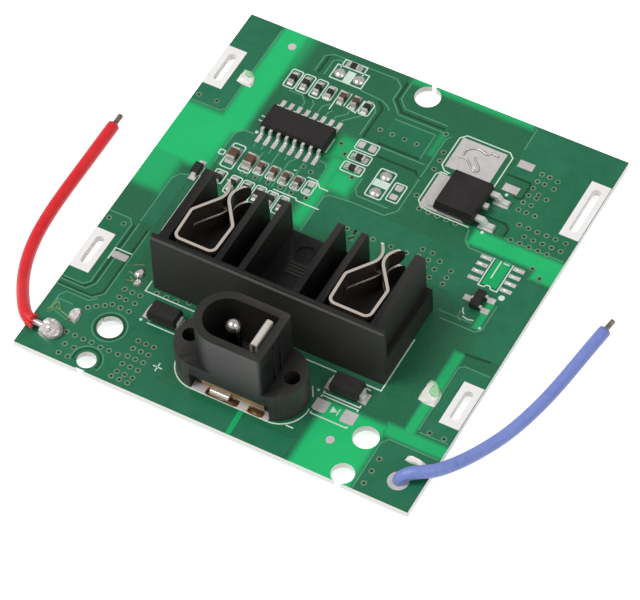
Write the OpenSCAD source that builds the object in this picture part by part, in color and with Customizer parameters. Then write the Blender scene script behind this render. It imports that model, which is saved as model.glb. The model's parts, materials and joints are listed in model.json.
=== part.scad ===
// Battery management board: a bare circuit board that carries a moulded two-clip terminal
// block, a round DC charging jack, a controller chip, one power transistor, small parts and
// two soldered wires.
// Frame: X along the terminal block, Y from the jack's edge towards the controller, Z up.
// The origin is the middle of the board in X and Y, at the height of the solder ends' tips.
// All sizes are in millimetres.

/* [Board] */
// Board length along X
board_width = 59.5; // [54:0.5:65]
// Board length along Y
board_depth = 64.5; // [60:0.5:70]
// Board thickness
board_thickness = 1.0; // [0.8:0.1:1.6]
// How far the solder ends stand out below the board
solder_drop = 1.2; // [0.8:0.1:2]
// Thickness of the tinned lands, exaggerated a little over real copper
pad_thickness = 0.08; // [0.04:0.01:0.15]
// Hole diameter of the small plated vias
via_bore = 0.4; // [0.3:0.05:0.6]

/* [Board holes] */
// Distance between the two front screw holes
screw_spacing = 38.9; // [36:0.1:42]
// Front screw hole centres behind the front edge
screw_setback = 7.85; // [6:0.05:10]
// Screw hole diameter
screw_bore = 3.6; // [3:0.1:4]
// Edge hole diameter
edge_bore = 3.2; // [2.8:0.1:3.6]
// Edge hole centres behind the front edge; they just break through it
edge_setback = 1.53; // [1.4:0.01:1.58]
// Rear hole diameter
rear_bore = 3.76; // [3.2:0.04:4]
// Rear hole centre in front of the rear edge
rear_setback = 2.15; // [2:0.05:3]
// Rear hole centre along X
rear_hole_x = -0.3; // [-2:0.1:2]
// Width of the ragged nick that opens the rear hole to the edge
rear_nick = 0.7; // [0.4:0.1:1]

/* [Tab slots] */
// Width of the slots for the cell tabs
tab_slot_width = 1.25; // [1:0.05:1.6]
// Slot centres inside the board's side edges
tab_slot_setback = 1.55; // [1.4:0.05:2]
// Width of the tinned lands round the slots
tab_land_width = 2.95; // [2.6:0.05:3]
// Length of the two front slots
front_slot_length = 5.06; // [4:0.1:6]
// Length of the front slots' lands
front_land_length = 7.3; // [6.5:0.1:8]
// Front slots' centre along Y
front_slot_y = -14.3; // [-16:0.1:-12]
// Length of the left rear slot
left_slot_length = 5.2; // [4:0.1:6]
// Length of the left rear land
left_land_length = 7.5; // [6.5:0.1:8]
// Length of the right rear slot
right_slot_length = 8.05; // [7:0.1:9]
// Length of the right rear land
right_land_length = 10.2; // [9.5:0.1:11]
// Rear slots' centre along Y
rear_slot_y = 21.95; // [20:0.1:23]
// Thickness of the plating in the slots
slot_plating = 0.08; // [0.05:0.01:0.15]

/* [Terminal block] */
// Width of the block's base
block_width = 35.0; // [33:0.5:37]
// Depth of the block from front wall to rear face
block_depth = 14.0; // [12.5:0.5:16]
// Height of the walls above the board
block_height = 10.8; // [9:0.2:12]
// Block's front face behind the board's middle
block_front = -16.0; // [-17:0.1:-15]
// Height of the floor that the clips stand on
block_floor = 4.8; // [4.5:0.1:6]
// Height of the ledges along the two ends
ledge_height = 4.3; // [3:0.1:4.4]
// Width of those ledges
ledge_width = 0.9; // [0.5:0.1:1.5]
// Thickness of the front wall
front_wall = 1.25; // [1.15:0.05:2]
// Corner radius at the rear top of the walls
fin_corner = 0.25; // [0.1:0.05:0.8]
// How far the front wall leans back over its height
front_draft = 0.4; // [0.2:0.05:0.6]
// Small step along the top of the front wall
lip = 0.3; // [0.2:0.05:0.5]
// Thickness of the two outer walls
outer_wall = 1.4; // [1:0.1:1.8]
// Thickness of the four inner fins
fin = 0.95; // [0.7:0.05:1.2]
// Room on each side of a clip in its bay
bay_clearance = 0.19; // [0.1:0.01:0.3]
// Width of the middle bay
middle_bay = 7.2; // [6.5:0.1:8]
// Diameter of the ejector mark in the middle bay
ejector_mark = 2.9; // [2:0.1:3.5]
// Depth of the ejector mark
mark_depth = 0.15; // [0.1:0.05:0.3]
// Width of the small ribs in front of the ejector mark
floor_rib_width = 2.6; // [2:0.1:3]
// Height of those ribs
floor_rib_height = 0.12; // [0.08:0.02:0.2]

/* [Terminal clips] */
// Thickness of the clip strip
strip = 0.42; // [0.36:0.02:0.5]
// Height of the clip strip
clip_height = 6.1; // [5.5:0.1:7]
// Width of the clip at its front bar, between strip centres
clip_front_width = 6.0; // [5.2:0.1:6.2]
// Width of the clip at its shoulders, between strip centres
clip_width = 6.3; // [6.2:0.1:7.4]
// Distance from the front bar to the shoulders
shoulder_run = 5.0; // [4.2:0.1:5.6]
// Distance from the front bar to the pinch
pinch_run = 9.4; // [8.5:0.1:10]
// Distance from the front bar to the finger ends
finger_run = 12.3; // [11.4:0.1:12.9]
// Gap between the fingers at the pinch
pinch_gap = 0.1; // [0.05:0.05:0.5]
// Gap between the flared finger ends
flare_gap = 3.7; // [2.5:0.1:4.2]
// Width of the slit that parts the upper and lower fingers
finger_slit = 0.4; // [0.3:0.05:0.6]
// Bend radius of the clip's front corners
clip_corner = 0.9; // [0.6:0.1:1.2]
// Bend radius of the shoulders
clip_shoulder = 0.8; // [0.5:0.1:1.2]
// Bend radius at the pinch
clip_pinch = 2.2; // [1.4:0.1:2.6]
// Width of the clip's solder legs
leg_width = 1.5; // [1.2:0.1:1.8]
// Solder legs' centre behind the front bar
leg_run = 2.35; // [2:0.05:3]
// Distance between the clip and the front wall
bar_setback = 0.45; // [0.1:0.05:0.6]
// Clearance round the legs in the block and the board
leg_clearance = 0.1; // [0.05:0.01:0.2]

/* [Jack housing] */
// Jack's middle along X
jack_x = 0.6; // [0:0.1:1]
// Jack's middle behind the front edge
jack_setback = 8.65; // [8.2:0.05:9.4]
// Length of the flange over its round ends
flange_length = 19.2; // [18.6:0.2:20.4]
// Width of the flange
flange_width = 8.7; // [8.4:0.1:9.4]
// Height of the flange
flange_height = 5.2; // [4.6:0.1:6]
// Distance between the two ear holes
ear_spacing = 15.3; // [15.1:0.1:15.8]
// Ear hole diameter
ear_bore = 2.2; // [1.8:0.1:2.6]
// Width of the recess in the front of the flange
recess_width = 11.9; // [11:0.1:12.4]
// Height of that recess
recess_height = 3.0; // [2.4:0.1:3.3]
// Depth of that recess, to the base strip that closes it
recess_depth = 1.15; // [0.8:0.05:1.4]
// Thickness of the base strip
base_thickness = 1.4; // [1.2:0.1:1.8]
// Base strip's left end from the jack's middle
base_left_run = 4.4; // [4:0.1:4.8]
// Base strip's right end from the jack's middle
base_right_run = 5.0; // [4.7:0.1:5.3]
// Height of the socket tower above the board
tower_height = 12.5; // [11.4:0.1:14]
// Length of the socket tower along X
tower_length = 11.6; // [11.3:0.1:12]
// Tower's round end to the left of the jack's middle
tower_left = 6.0; // [5.8:0.1:6.2]
// Corner radius of the tower's square end
tower_corner = 0.5; // [0.3:0.1:1]
// Wall of the socket tower
tower_wall = 1.15; // [1:0.05:1.25]
// Height of the socket floor
socket_floor = 3.8; // [3.5:0.1:4.4]

/* [Jack contacts] */
// Contact pin diameter
pin_diameter = 2.0; // [1.6:0.1:2.5]
// Height of the pin's tip
pin_height = 12.2; // [10.5:0.1:12.4]
// Diameter of the pin's riveted shank
shank_diameter = 1.4; // [1:0.1:1.8]
// Width of the slit across the pin's tip
pin_slit = 0.3; // [0.2:0.05:0.5]
// Depth of the slit
pin_slit_depth = 2.4; // [1.5:0.1:3]
// Pin's middle to the left of the jack's middle
pin_left = 0.8; // [0.4:0.1:1.2]
// Pin's middle behind the jack's middle
pin_back = 0.1; // [0:0.1:0.4]
// Thickness of the contact spring
spring_strip = 0.35; // [0.25:0.05:0.4]
// Outer width of the spring's folded top
spring_fold = 1.15; // [1:0.05:1.4]
// Bend radius of the spring's folded top
spring_bend = 0.45; // [0.4:0.05:0.5]
// Width of the spring along Y
spring_width = 4.4; // [3.8:0.1:4.8]
// Height of the spring's folded top
spring_height = 12.0; // [10.8:0.1:12.4]
// Spring's middle to the right of the jack's middle
spring_right = 3.3; // [3.1:0.02:3.4]
// Spring's middle behind the jack's middle
spring_back = 0.4; // [0.1:0.1:0.6]
// Width of the spring's solder tail
tail_width = 1.6; // [1.2:0.1:2]
// Thickness of the solder lug under the pin
lug_thickness = 0.5; // [0.4:0.05:0.6]
// Width of the solder lug
lug_width = 2.8; // [2.4:0.1:3]
// Lug's middle to the left of the pin's
lug_offset = 0.6; // [0.3:0.1:0.8]
// Bent end of the lug behind the flange's front
lug_inset = 0.5; // [0.4:0.05:0.6]
// Length of the left board slot at the jack
left_lug_slot = 4.9; // [4.5:0.1:5.4]
// Length of the right board slot at the jack
right_lug_slot = 2.4; // [2:0.1:3]
// Width of both slots
lug_slot_width = 1.1; // [1:0.05:1.2]

/* [Controller chip] */
// Length of the body along the rows of leads
controller_length = 9.9; // [9.6:0.1:10.2]
// Width of the body
controller_width = 3.9; // [3.7:0.1:4.1]
// Height of the body
controller_height = 1.45; // [1.2:0.05:1.7]
// Distance over the lead tips
controller_span = 6.0; // [5.8:0.1:6.3]
// Lead pitch
lead_pitch = 1.27; // [1.2:0.01:1.3]
// Lead width
lead_width = 0.42; // [0.3:0.02:0.5]
// Lead thickness
lead_thickness = 0.22; // [0.15:0.01:0.3]
// Gap under the bodies of leaded parts
standoff = 0.12; // [0.05:0.01:0.2]

/* [Power transistor] */
// Body length along X
transistor_length = 6.1; // [5.8:0.1:6.4]
// Body width along Y
transistor_width = 6.6; // [6.2:0.1:6.8]
// Body height
transistor_height = 2.3; // [2.1:0.05:2.5]
// Thickness of the tab and leads
tab_thickness = 0.5; // [0.4:0.05:0.6]
// Length of the tab that shows
tab_length = 1.6; // [1.2:0.1:2]
// Distance between the two outer leads
transistor_pitch = 4.56; // [4.4:0.02:4.7]

/* [Power diodes] */
// Body length
diode_length = 4.3; // [4:0.1:4.6]
// Body width
diode_width = 2.6; // [2.4:0.1:2.9]
// Body height
diode_height = 2.1; // [1.9:0.05:2.4]
// Width of the solder strips
diode_strip_width = 1.45; // [1.2:0.05:1.7]
// Thickness of the solder strips
diode_strip = 0.2; // [0.15:0.01:0.3]

/* [Chip parts] */
// Length, width and height of the larger capacitors
big_chip = [2.0, 1.25, 0.85];
// Length, width and height of the smaller capacitors
small_cap = [1.6, 0.8, 0.75];
// Length, width and height of the resistors
resistor = [1.6, 0.8, 0.45];
// Length of the metal caps on each end of a chip
end_cap = 0.32; // [0.2:0.02:0.45]
// Length of the solder fillet beyond each cap
solder_run = 0.42; // [0.2:0.02:0.6]

/* [Wires] */
// Outer diameter of both wires
wire_diameter = 1.8; // [1.6:0.1:2.2]
// Diameter of the tinned strands
strand_diameter = 0.8; // [0.6:0.1:1.1]
// Length of the bare strands at each free end
strand_length = 2.0; // [1:0.5:4]
// Radius of the red wire's solder joint
red_blob_radius = 1.45; // [1.2:0.05:1.8]
// Height of the red wire's solder joint
red_blob_height = 1.55; // [1.4:0.05:1.8]
// Diameter of the ring round the blue wire's hole
blue_ring = 2.9; // [2.5:0.1:3.4]
// Diameter of the holes that the wires are soldered in
wire_hole = 1.4; // [1.2:0.1:1.8]

/* [Hidden] */
// Sub-parts, in the order they are built
// Which sub-part to build, or "all"
// Smallest overlap or overrun used so that cuts come out clean
eps = 0.01;
// Faces on round parts, from large to small
$fn = 48;

// Levels and edges that several parts share
top = solder_drop + board_thickness;
seat = top + pad_thickness;
front_edge = -board_depth / 2;
rear_edge = board_depth / 2;
side_edge = board_width / 2;

// Places of the parts that are only lined up with the board's own middle: [x, y]
controller_at = [-13.2, 16.3];
transistor_at = [12.85, 15.75];
left_diode_at = [-13.4, -20.0];
right_diode_at = [13.85, -19.1];
small_transistor_at = [22.3, 1.7];
side_diode_at = [-22.4, 4.1];
capacitor_x = [-19.25, -16.7, -14.8, -12.8, -10.9, -9.0];
capacitor_y = [8.6, 8.7, 8.4, 8.4, 8.4, 8.4];
resistor_x = [-19.2, -16.9, -14.9, -12.9, -10.9, -9.1];
resistor_y = 4.2;
rear_resistor_x = [-18.6, -16.6, -14.6, -12.75, -6.9];
rear_row_y = 24.45;
side_chip_at = [[-3.5, 16.1], [-3.5, 14.1]];
sensor_chip_at = [-12.0, 30.2];
thermistor_at = [[-13.3, 28.4], [-10.3, 28.4], [1.2, 15.0], [1.2, 11.9]];
spare_land_at = [10.96, 23.07];
small_pads_x = [19.9, 24.8];
small_pads_y = 6.9;

// Hand-chosen routes of the two wires, centre line: [x, y, z]
red_route = [[-28.8, -28.75, 3.15], [-29.7, -28.75, 3.15], [-30.9, -27.6, 3.1],
  [-32.3, -25.7, 2.4], [-33.9, -23.4, 1.6], [-35.3, -20.8, 1.1], [-36.5, -17.6, 0.9],
  [-37.1, -14.2, 0.9], [-37.35, -11.4, 0.9], [-37.5, -8.4, 0.9], [-37.5, -5.4, 0.9],
  [-37.5, -2.4, 0.9], [-37.5, 0.6, 0.9], [-37.5, 3.6, 0.9], [-37.5, 6.6, 0.9]];
blue_route = [[26.5, -28.4, 2.28], [26.6, -28.3, 3.0], [27.4, -27.7, 3.8],
  [28.8, -27, 3.9], [30, -26, 3.6], [30.9, -24.7, 3.0], [32.3, -21.9, 2.0],
  [33.5, -18.7, 1.3], [34.9, -15.6, 0.9], [35.9, -12.4, 0.9], [36.8, -9, 0.9],
  [37.5, -5.3, 0.9], [38, -1.5, 0.9], [38.4, 2, 0.9], [39, 6, 0.9]];
// Places of the two wires' solder joints: [x, y]
red_joint_at = [-26.2, -28.5];
blue_joint_at = [26.4, -28.5];
// Faces round a wire
wire_sides = 8;
// Flats along each bend of the clip strip
bend_steps = 7;

// Vectors
function unit(v) = v / norm(v);
function flat(v) = unit([v.x, v.y, 0]);

// ---------- shared shapes ----------

// Rectangle with true round corners, centred
module rounded_square(size, r) {
  square([size.x - 2 * r, size.y], center = true);
  square([size.x, size.y - 2 * r], center = true);
  for (x = [-1, 1], y = [-1, 1])
    translate([x * (size.x / 2 - r), y * (size.y / 2 - r)])
      circle(r = r);
}

// Slot shape along Y with half-round ends, centred
module slot_shape(width, length) {
  square([width, length - width], center = true);
  for (y = [-1, 1])
    translate([0, y * (length - width) / 2])
      circle(d = width);
}

// Moulded body with drafted sides that meet at a parting line, standing on z = 0
module moulded_body(length, width, height, lean) {
  split = height * 0.5;
  intersection() {
    rotate([90, 0, 0])
      linear_extrude(width + 2, center = true)
        drafted_profile(length, height, split, lean);
    rotate([90, 0, 90])
      linear_extrude(length + 2, center = true)
        drafted_profile(width, height, split, lean);
  }
}

module drafted_profile(across, height, split, lean) {
  half = across / 2;
  polygon([[-half + lean, 0], [half - lean, 0], [half, split], [half - lean, height],
    [-half + lean, height], [-half, split]]);
}

// Gull-wing lead in the XZ plane, running out along +X from x = 0 and down to z = 0
module gull_wing(reach, exit, thickness, width) {
  foot = reach * 0.45;
  heel = reach - foot;
  rotate([90, 0, 0])
    linear_extrude(width, center = true)
      polygon([[0, exit - thickness / 2], [heel * 0.45, exit - thickness / 2],
        [heel - thickness * 0.2, 0], [reach, 0], [reach, thickness],
        [heel + thickness * 0.55, thickness], [heel * 0.45 + thickness, exit + thickness / 2],
        [0, exit + thickness / 2]]);
}

// Chip body between its end caps, length along Y, standing on z = 0
module chip_body(size) {
  translate([-size.y / 2, -size.x / 2 + end_cap, 0])
    cube([size.y, size.x - 2 * end_cap, size.z]);
}

// Both end caps of a chip with their solder fillets, length along Y
module chip_caps(size) {
  half = size.x / 2;
  for (side = [-1, 1])
    scale_y(side)
      rotate([90, 0, 90])
        linear_extrude(size.y, center = true)
          polygon([[half - end_cap, 0], [half + solder_run, 0],
            [half + solder_run * 0.35, size.z * 0.3], [half, size.z * 0.85],
            [half - 0.05, size.z], [half - end_cap, size.z]]);
}

module scale_y(side) {
  if (side > 0)
    children();
  else
    mirror([0, 1, 0])
      children();
}

// Lands for one chip, length along Y
module chip_lands(size) {
  for (side = [-1, 1])
    translate([-size.y / 2 - 0.05, side * (size.x / 2 + solder_run / 2 - end_cap / 2) -
      (solder_run + end_cap) / 2 - 0.05, 0])
      cube([size.y + 0.1, solder_run + end_cap + 0.1, pad_thickness]);
}

// Thin land, centred on [x, y]
module land(at, size) {
  translate([at.x - size.x / 2, at.y - size.y / 2, top])
    cube([size.x, size.y, pad_thickness]);
}

// Row or grid of vias from one corner: [x, y, columns, rows, pitch along X, pitch along Y]
module via_grid(g) {
  for (i = [0:g[2] - 1], j = [0:g[3] - 1])
    translate([g[0] + i * g[4], g[1] + j * g[5]])
      circle(d = via_bore, $fn = 16);
}

// ---------- circuit board ----------

via_grids = [
  [21.3, 15.8, 5, 1, 1.37, 1], [22.8, 14.3, 4, 1, 1.37, 1], [21.4, 13.0, 5, 1, 1.37, 1],
  [26.25, 9.98, 1, 1, 1, 1], [27.85, 8.9, 1, 1, 1, 1], [16.7, 2.2, 1, 3, 1, 1.2],
  [6.5, 19.1, 1, 2, 1, 1.7], [6.5, 14.0, 1, 1, 1, 1], [7.9, 12.1, 5, 1, 1.4, 1],
  [14.6, 2.4, 1, 3, 1, 1.5], [11.6, 3.6, 2, 3, 1.5, 1.3], [0.8, 3.4, 2, 2, 1.3, 1.2],
  [-3.4, 21.9, 4, 1, 1.9, 1], [-7.05, 17.3, 1, 1, 1, 1], [-2.85, 12.7, 1, 1, 1, 1],
  [-16.7, -16.7, 3, 1, 1.5, 1], [-29.05, -8.5, 2, 1, 2.3, 1],
  [-21.1, -21, 3, 3, 1.3, -1.3], [-14.9, -24.6, 3, 5, 1.2, -1.4],
  [-24.2, -27.7, 4, 1, 1.3, -1], [-23.4, -29.5, 2, 2, 1.4, -1.6],
  [22.6, -26.6, 1, 3, 1, -2.1], [26.5, -20, 2, 1, 2.1, 1]];

module board_outline() {
  difference() {
    square([board_width, board_depth], center = true);
    for (x = [-1, 1]) {
      translate([x * screw_spacing / 2, front_edge + screw_setback])
        circle(d = screw_bore);
      translate([x * screw_spacing / 2, front_edge + edge_setback])
        circle(d = edge_bore);
    }
    translate([rear_hole_x, rear_edge - rear_setback]) {
      circle(d = rear_bore);
      translate([-rear_nick / 2, 0])
        square([rear_nick, rear_setback + 1]);
    }
    each_tab_slot()
      slot_shape(tab_slot_width + 2 * slot_plating, $slot + 2 * slot_plating);
    each_leg()
      square([strip + 2 * leg_clearance + leg_lean, leg_width + 2 * leg_clearance], center = true);
    lug_slots();
    translate([spring_x, spring_y])
      square([spring_strip + 2 * leg_clearance, tail_width + 2 * leg_clearance], center = true);
    for (p = thermistor_at)
      translate(p)
        circle(d = joint_bore);
    for (p = [red_joint_at, blue_joint_at])
      translate(p)
        circle(d = wire_hole);
    for (g = via_grids)
      via_grid(g);
  }
}

module circuit_board() {
  color([0.12, 0.45, 0.3])
    translate([0, 0, solder_drop])
      linear_extrude(board_thickness)
        board_outline();
}

// Calls its child at each tab slot, with the slot's and its land's length set
module each_tab_slot() {
  x = side_edge - tab_slot_setback;
  translate([-x, front_slot_y])
    let ($slot = front_slot_length, $land = front_land_length)
      children();
  translate([x, front_slot_y])
    let ($slot = front_slot_length, $land = front_land_length)
      children();
  translate([-x, rear_slot_y])
    let ($slot = left_slot_length, $land = left_land_length)
      children();
  translate([x, rear_slot_y])
    let ($slot = right_slot_length, $land = right_land_length)
      children();
}

// Tinned lands on both faces, joined by the plating in the slots
module slot_lands() {
  color([0.8, 0.78, 0.78])
    each_tab_slot() {
      difference() {
        union() {
          for (z = [top, solder_drop - pad_thickness])
            translate([-tab_land_width / 2, -$land / 2, z])
              cube([tab_land_width, $land, pad_thickness]);
          translate([0, 0, solder_drop])
            linear_extrude(board_thickness)
              slot_shape(tab_slot_width + 2 * slot_plating, $slot + 2 * slot_plating);
        }
        translate([0, 0, solder_drop - 1])
          linear_extrude(board_thickness + 2)
            slot_shape(tab_slot_width, $slot);
      }
    }
}

// Bare and soldered lands on the top face
module surface_pads() {
  color([0.8, 0.78, 0.78]) {
    for (i = [0:7], side = [-1, 1])
      land([controller_at.x + (i - 3.5) * lead_pitch,
        controller_at.y + side * (controller_span / 2 + 0.2)], [0.62, 1.9]);
    for (x = small_pads_x, i = [0:3])
      land([x, small_pads_y + (i - 1.5) * lead_pitch], [1.65, 0.62]);
    land([transistor_at.x - 1.92, transistor_at.y], [6.8, 6.3]);
    land(spare_land_at, [6.85, 5.6]);
    for (y = [-1, 1]) {
      land([17.5, transistor_at.y + y * transistor_pitch / 2], [2.3, 1.3]);
      land([17.5, spare_land_at.y + y * transistor_pitch / 2], [2.3, 1.3]);
    }
    for (at = [left_diode_at, right_diode_at], x = [-1, 1])
      land([at.x + x * diode_length / 2, at.y], [1.9, 1.8]);
    for (x = [-1, 1])
      land([13.9 + x * 2.1, -22.6], [2.0, 1.8]);
    land([small_transistor_at.x - 1.55, small_transistor_at.y], [1.1, 0.9]);
    for (y = [-1, 1])
      land([small_transistor_at.x + 1.55, small_transistor_at.y + y * 0.95], [1.1, 0.9]);
    for (p = [[-4.35, 18.4], [-2.75, 18.4]])
      land(p, [0.9, 1.1]);
    for (p = [[3.85, 13.8], [3.85, 12.2], [-7.2, 9.1], [-7.2, 7.7]])
      land(p, [0.9, 0.8]);
    for (y = [-1, 1])
      land([side_diode_at.x, side_diode_at.y + y * 1.35], [1.0, 0.9]);
    difference() {
      union() {
        land([recess_x, base_front - recess_depth / 2 - 0.05],
          [recess_width - 0.2, recess_depth + 0.1]);
        land([(base_left + base_right) / 2, base_front], [base_right - base_left, 2.0]);
      }
      linear_extrude(2 * seat)
        lug_slots();
    }
    for (p = [[-21.6, 29.5], [15.5, -26.9]])
      translate([p.x, p.y, top])
        cylinder(d = 1.2, h = pad_thickness, $fn = 24);
    for (i = [0:1])
      place_chip(side_chip_at[i], 90)
        chip_lands(resistor);
    place_chip(sensor_chip_at, 90)
      chip_lands(resistor);
    for (i = [0:5]) {
      place_chip([capacitor_x[i], capacitor_y[i]], 0)
        chip_lands(i < 2 ? big_chip : small_cap);
      place_chip([resistor_x[i], resistor_y], 0)
        chip_lands(resistor);
    }
    for (x = rear_resistor_x)
      place_chip([x, rear_row_y], 0)
        chip_lands(resistor);
    for (x = [-10.7, -8.7])
      place_chip([x, rear_row_y], 0)
        chip_lands(small_cap);
  }
}

module place_chip(at, turn) {
  translate([at.x, at.y, top])
    rotate([0, 0, turn])
      children();
}

// ---------- terminal block ----------

block_rear = block_front + block_depth;
wall_out = block_width / 2 - ledge_width;
clip_bay = max(clip_width, clip_front_width) + strip + 2 * bay_clearance;
bay_x = wall_out - outer_wall - clip_bay / 2;
inner_fin_x = wall_out - outer_wall - clip_bay - fin;
wall_back = block_front + front_wall;
mark_y = block_rear - 3.0;

module terminal_block() {
  color([0.16, 0.16, 0.16])
    translate([0, 0, top])
      difference() {
        union() {
          block_front_wall();
          block_base();
          for (side = [-1, 1]) {
            block_fin(side > 0 ? wall_out - outer_wall : -wall_out, outer_wall);
            block_fin(side > 0 ? inner_fin_x : -inner_fin_x - fin, fin);
            block_fin(side > 0 ? middle_bay / 2 : -middle_bay / 2 - fin, fin);
          }
          for (i = [0:3])
            translate([-floor_rib_width / 2, mark_y - 2.0 - i * 0.55, block_floor - eps])
              cube([floor_rib_width, 0.25, floor_rib_height + eps]);
        }
        translate([0, mark_y, block_floor - mark_depth])
          cylinder(d = ejector_mark, h = mark_depth + 1);
        translate([0, 0, -1])
          linear_extrude(block_floor + 2)
            each_leg()
              square([strip + 2 * leg_clearance + leg_lean, leg_width + 2 * leg_clearance],
                center = true);
      }
}

// Front wall: leaning face, small step at the top, square inner face
module block_front_wall() {
  rotate([90, 0, 90])
    linear_extrude(block_width, center = true)
      polygon([[block_front, 0], [block_front + front_draft, block_height - lip * 1.6],
        [block_front + front_draft + lip, block_height - lip],
        [block_front + front_draft + lip, block_height], [wall_back, block_height],
        [wall_back, 0]]);
}

// Solid floor with a ledge along each end
module block_base() {
  translate([-wall_out, wall_back - eps, 0])
    cube([2 * wall_out, block_rear - wall_back + eps, block_floor]);
  translate([-block_width / 2, wall_back - eps, 0])
    cube([block_width, block_rear - wall_back + eps, ledge_height]);
}

// Upright fin from the front wall to the rear face, its rear top corner rounded
module block_fin(x, thickness) {
  r = fin_corner;
  translate([x, 0, 0])
    rotate([90, 0, 90])
      linear_extrude(thickness)
        union() {
          translate([wall_back - eps, block_floor - eps])
            square([block_rear - wall_back + eps - r, block_height - block_floor + eps]);
          translate([block_rear - r - eps, block_floor - eps])
            square([r + eps, block_height - block_floor - r + eps]);
          translate([block_rear - r, block_height - r])
            circle(r = r);
        }
}

// ---------- terminal clips ----------

// Where the finger's straight runs would meet, so that the bend between them leaves the gap
pinch_sweep = atan(clip_width / 2 / (pinch_run - shoulder_run)) +
  atan((flare_gap - strip) / 2 / (finger_run - pinch_run));
pinch_x = (pinch_gap + strip) / 2 - clip_pinch * (1 / cos(pinch_sweep / 2) - 1);

// The clip's centre line in plan, right half, from the front bar to the finger end
bar_y = wall_back + strip / 2 + bar_setback;
clip_line = [[0, bar_y], [clip_front_width / 2, bar_y], [clip_width / 2, bar_y + shoulder_run],
  [pinch_x, bar_y + pinch_run],
  [(flare_gap - strip) / 2, bar_y + finger_run]];
clip_radii = [0, clip_corner, clip_shoulder, clip_pinch, 0];
leg_y = bar_y + leg_run;
leg_x = clip_front_width / 2 + (clip_width - clip_front_width) / 2 * leg_run / shoulder_run;
leg_lean = (clip_width - clip_front_width) / 2 * leg_width / shoulder_run;

module each_leg() {
  for (bay = [-1, 1], side = [-1, 1])
    translate([bay * bay_x + side * leg_x, leg_y])
      children();
}

// Outline of a strip of even thickness along a line of points, each inner corner bent
module bent_strip(points, radii, thickness) {
  last = len(points) - 1;
  polygon(concat(
    [for (i = [0:last]) each bend_side(points, radii, i, thickness / 2)],
    [for (i = [last:-1:0]) each reverse(bend_side(points, radii, i, -thickness / 2))]));
}

function reverse(list) = [for (i = [len(list) - 1:-1:0]) list[i]];

// Points of one side of the strip at corner i, `shift` to the left of the line's run
function bend_side(points, radii, i, shift) =
  let (last = len(points) - 1)
  i == 0 ? [points[0] + shift * left_of(unit(points[1] - points[0]))] :
  i == last ? [points[last] + shift * left_of(unit(points[last] - points[last - 1]))] :
  let (
    into = unit(points[i] - points[i - 1]),
    away = unit(points[i + 1] - points[i]),
    turn = into.x * away.y - into.y * away.x > 0 ? 1 : -1,
    sweep = acos(into * away),
    start = points[i] - into * radii[i] * tan(sweep / 2),
    centre = start + turn * radii[i] * left_of(into),
    r = radii[i] - turn * shift)
  [for (k = [0:bend_steps])
    let (a = turn * sweep * k / bend_steps, from = -turn * left_of(into))
    centre + r * [from.x * cos(a) - from.y * sin(a), from.x * sin(a) + from.y * cos(a)]];

function left_of(v) = [-v.y, v.x];

// The clip's whole outline: finger end, round the front bar, to the other finger end
module clip_plan() {
  last = len(clip_line) - 1;
  bent_strip(
    concat(
      [for (i = [last:-1:1]) [-clip_line[i].x, clip_line[i].y]],
      [for (i = [1:last]) clip_line[i]]),
    concat(
      [for (i = [last:-1:1]) clip_radii[i]],
      [for (i = [1:last]) clip_radii[i]]),
    strip);
}

// Side view that the strip is trimmed to: full height at the front, two fingers behind
module clip_side() {
  finger = (clip_height - finger_slit) / 2;
  split_y = bar_y + shoulder_run - 0.4;
  end_y = bar_y + finger_run - finger / 2;
  translate([bar_y - strip, 0])
    square([split_y - bar_y + strip, clip_height]);
  for (z = [0, finger + finger_slit]) {
    translate([split_y - eps, z])
      square([end_y - split_y + eps, finger]);
    translate([end_y, z + finger / 2])
      circle(d = finger);
  }
}

module clip(bay) {
  color([0.72, 0.69, 0.66])
    translate([bay * bay_x, 0, top]) {
      intersection() {
        translate([0, 0, block_floor])
          linear_extrude(clip_height)
            clip_plan();
        translate([0, 0, block_floor])
          rotate([90, 0, 90])
            linear_extrude(clip_width + 4, center = true)
              clip_side();
      }
      intersection() {
        translate([0, 0, -top])
          linear_extrude(top + block_floor + eps)
            clip_plan();
        translate([-clip_width, leg_y - leg_width / 2, -top])
          cube([2 * clip_width, leg_width, top + block_floor + eps]);
      }
    }
}

module left_clip() {
  clip(-1);
}

module right_clip() {
  clip(1);
}

// ---------- charging jack ----------

jack_y = front_edge + jack_setback;
tower_end_x = jack_x - tower_left + flange_width / 2;
pin_x = jack_x - pin_left;
pin_y = jack_y + pin_back;
spring_x = jack_x + spring_right + spring_fold / 2 - spring_strip / 2;
spring_y = jack_y + spring_back;
recess_x = jack_x + 0.35;
base_front = jack_y - flange_width / 2 + recess_depth;
base_back = jack_y + flange_width / 2 - tower_wall;
base_right = jack_x + base_right_run;
base_left = jack_x - base_left_run;
lug_y = jack_y - flange_width / 2 + lug_inset;
lug_x = pin_x - lug_offset;

// Plan of the tower: one half-round end, one square end with small corners
module tower_plan(inset) {
  half = flange_width / 2 - inset;
  right = jack_x - tower_left + tower_length - inset;
  r = max(tower_corner - inset, 0.25);
  translate([tower_end_x, jack_y])
    circle(r = half, $fn = 96);
  translate([tower_end_x, jack_y - half])
    square([right - tower_end_x - r, 2 * half]);
  translate([right - r - eps, jack_y - half + r])
    square([r + eps, 2 * half - 2 * r]);
  for (y = [-1, 1])
    translate([right - r, jack_y + y * (half - r)])
      circle(r = r);
}

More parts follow.
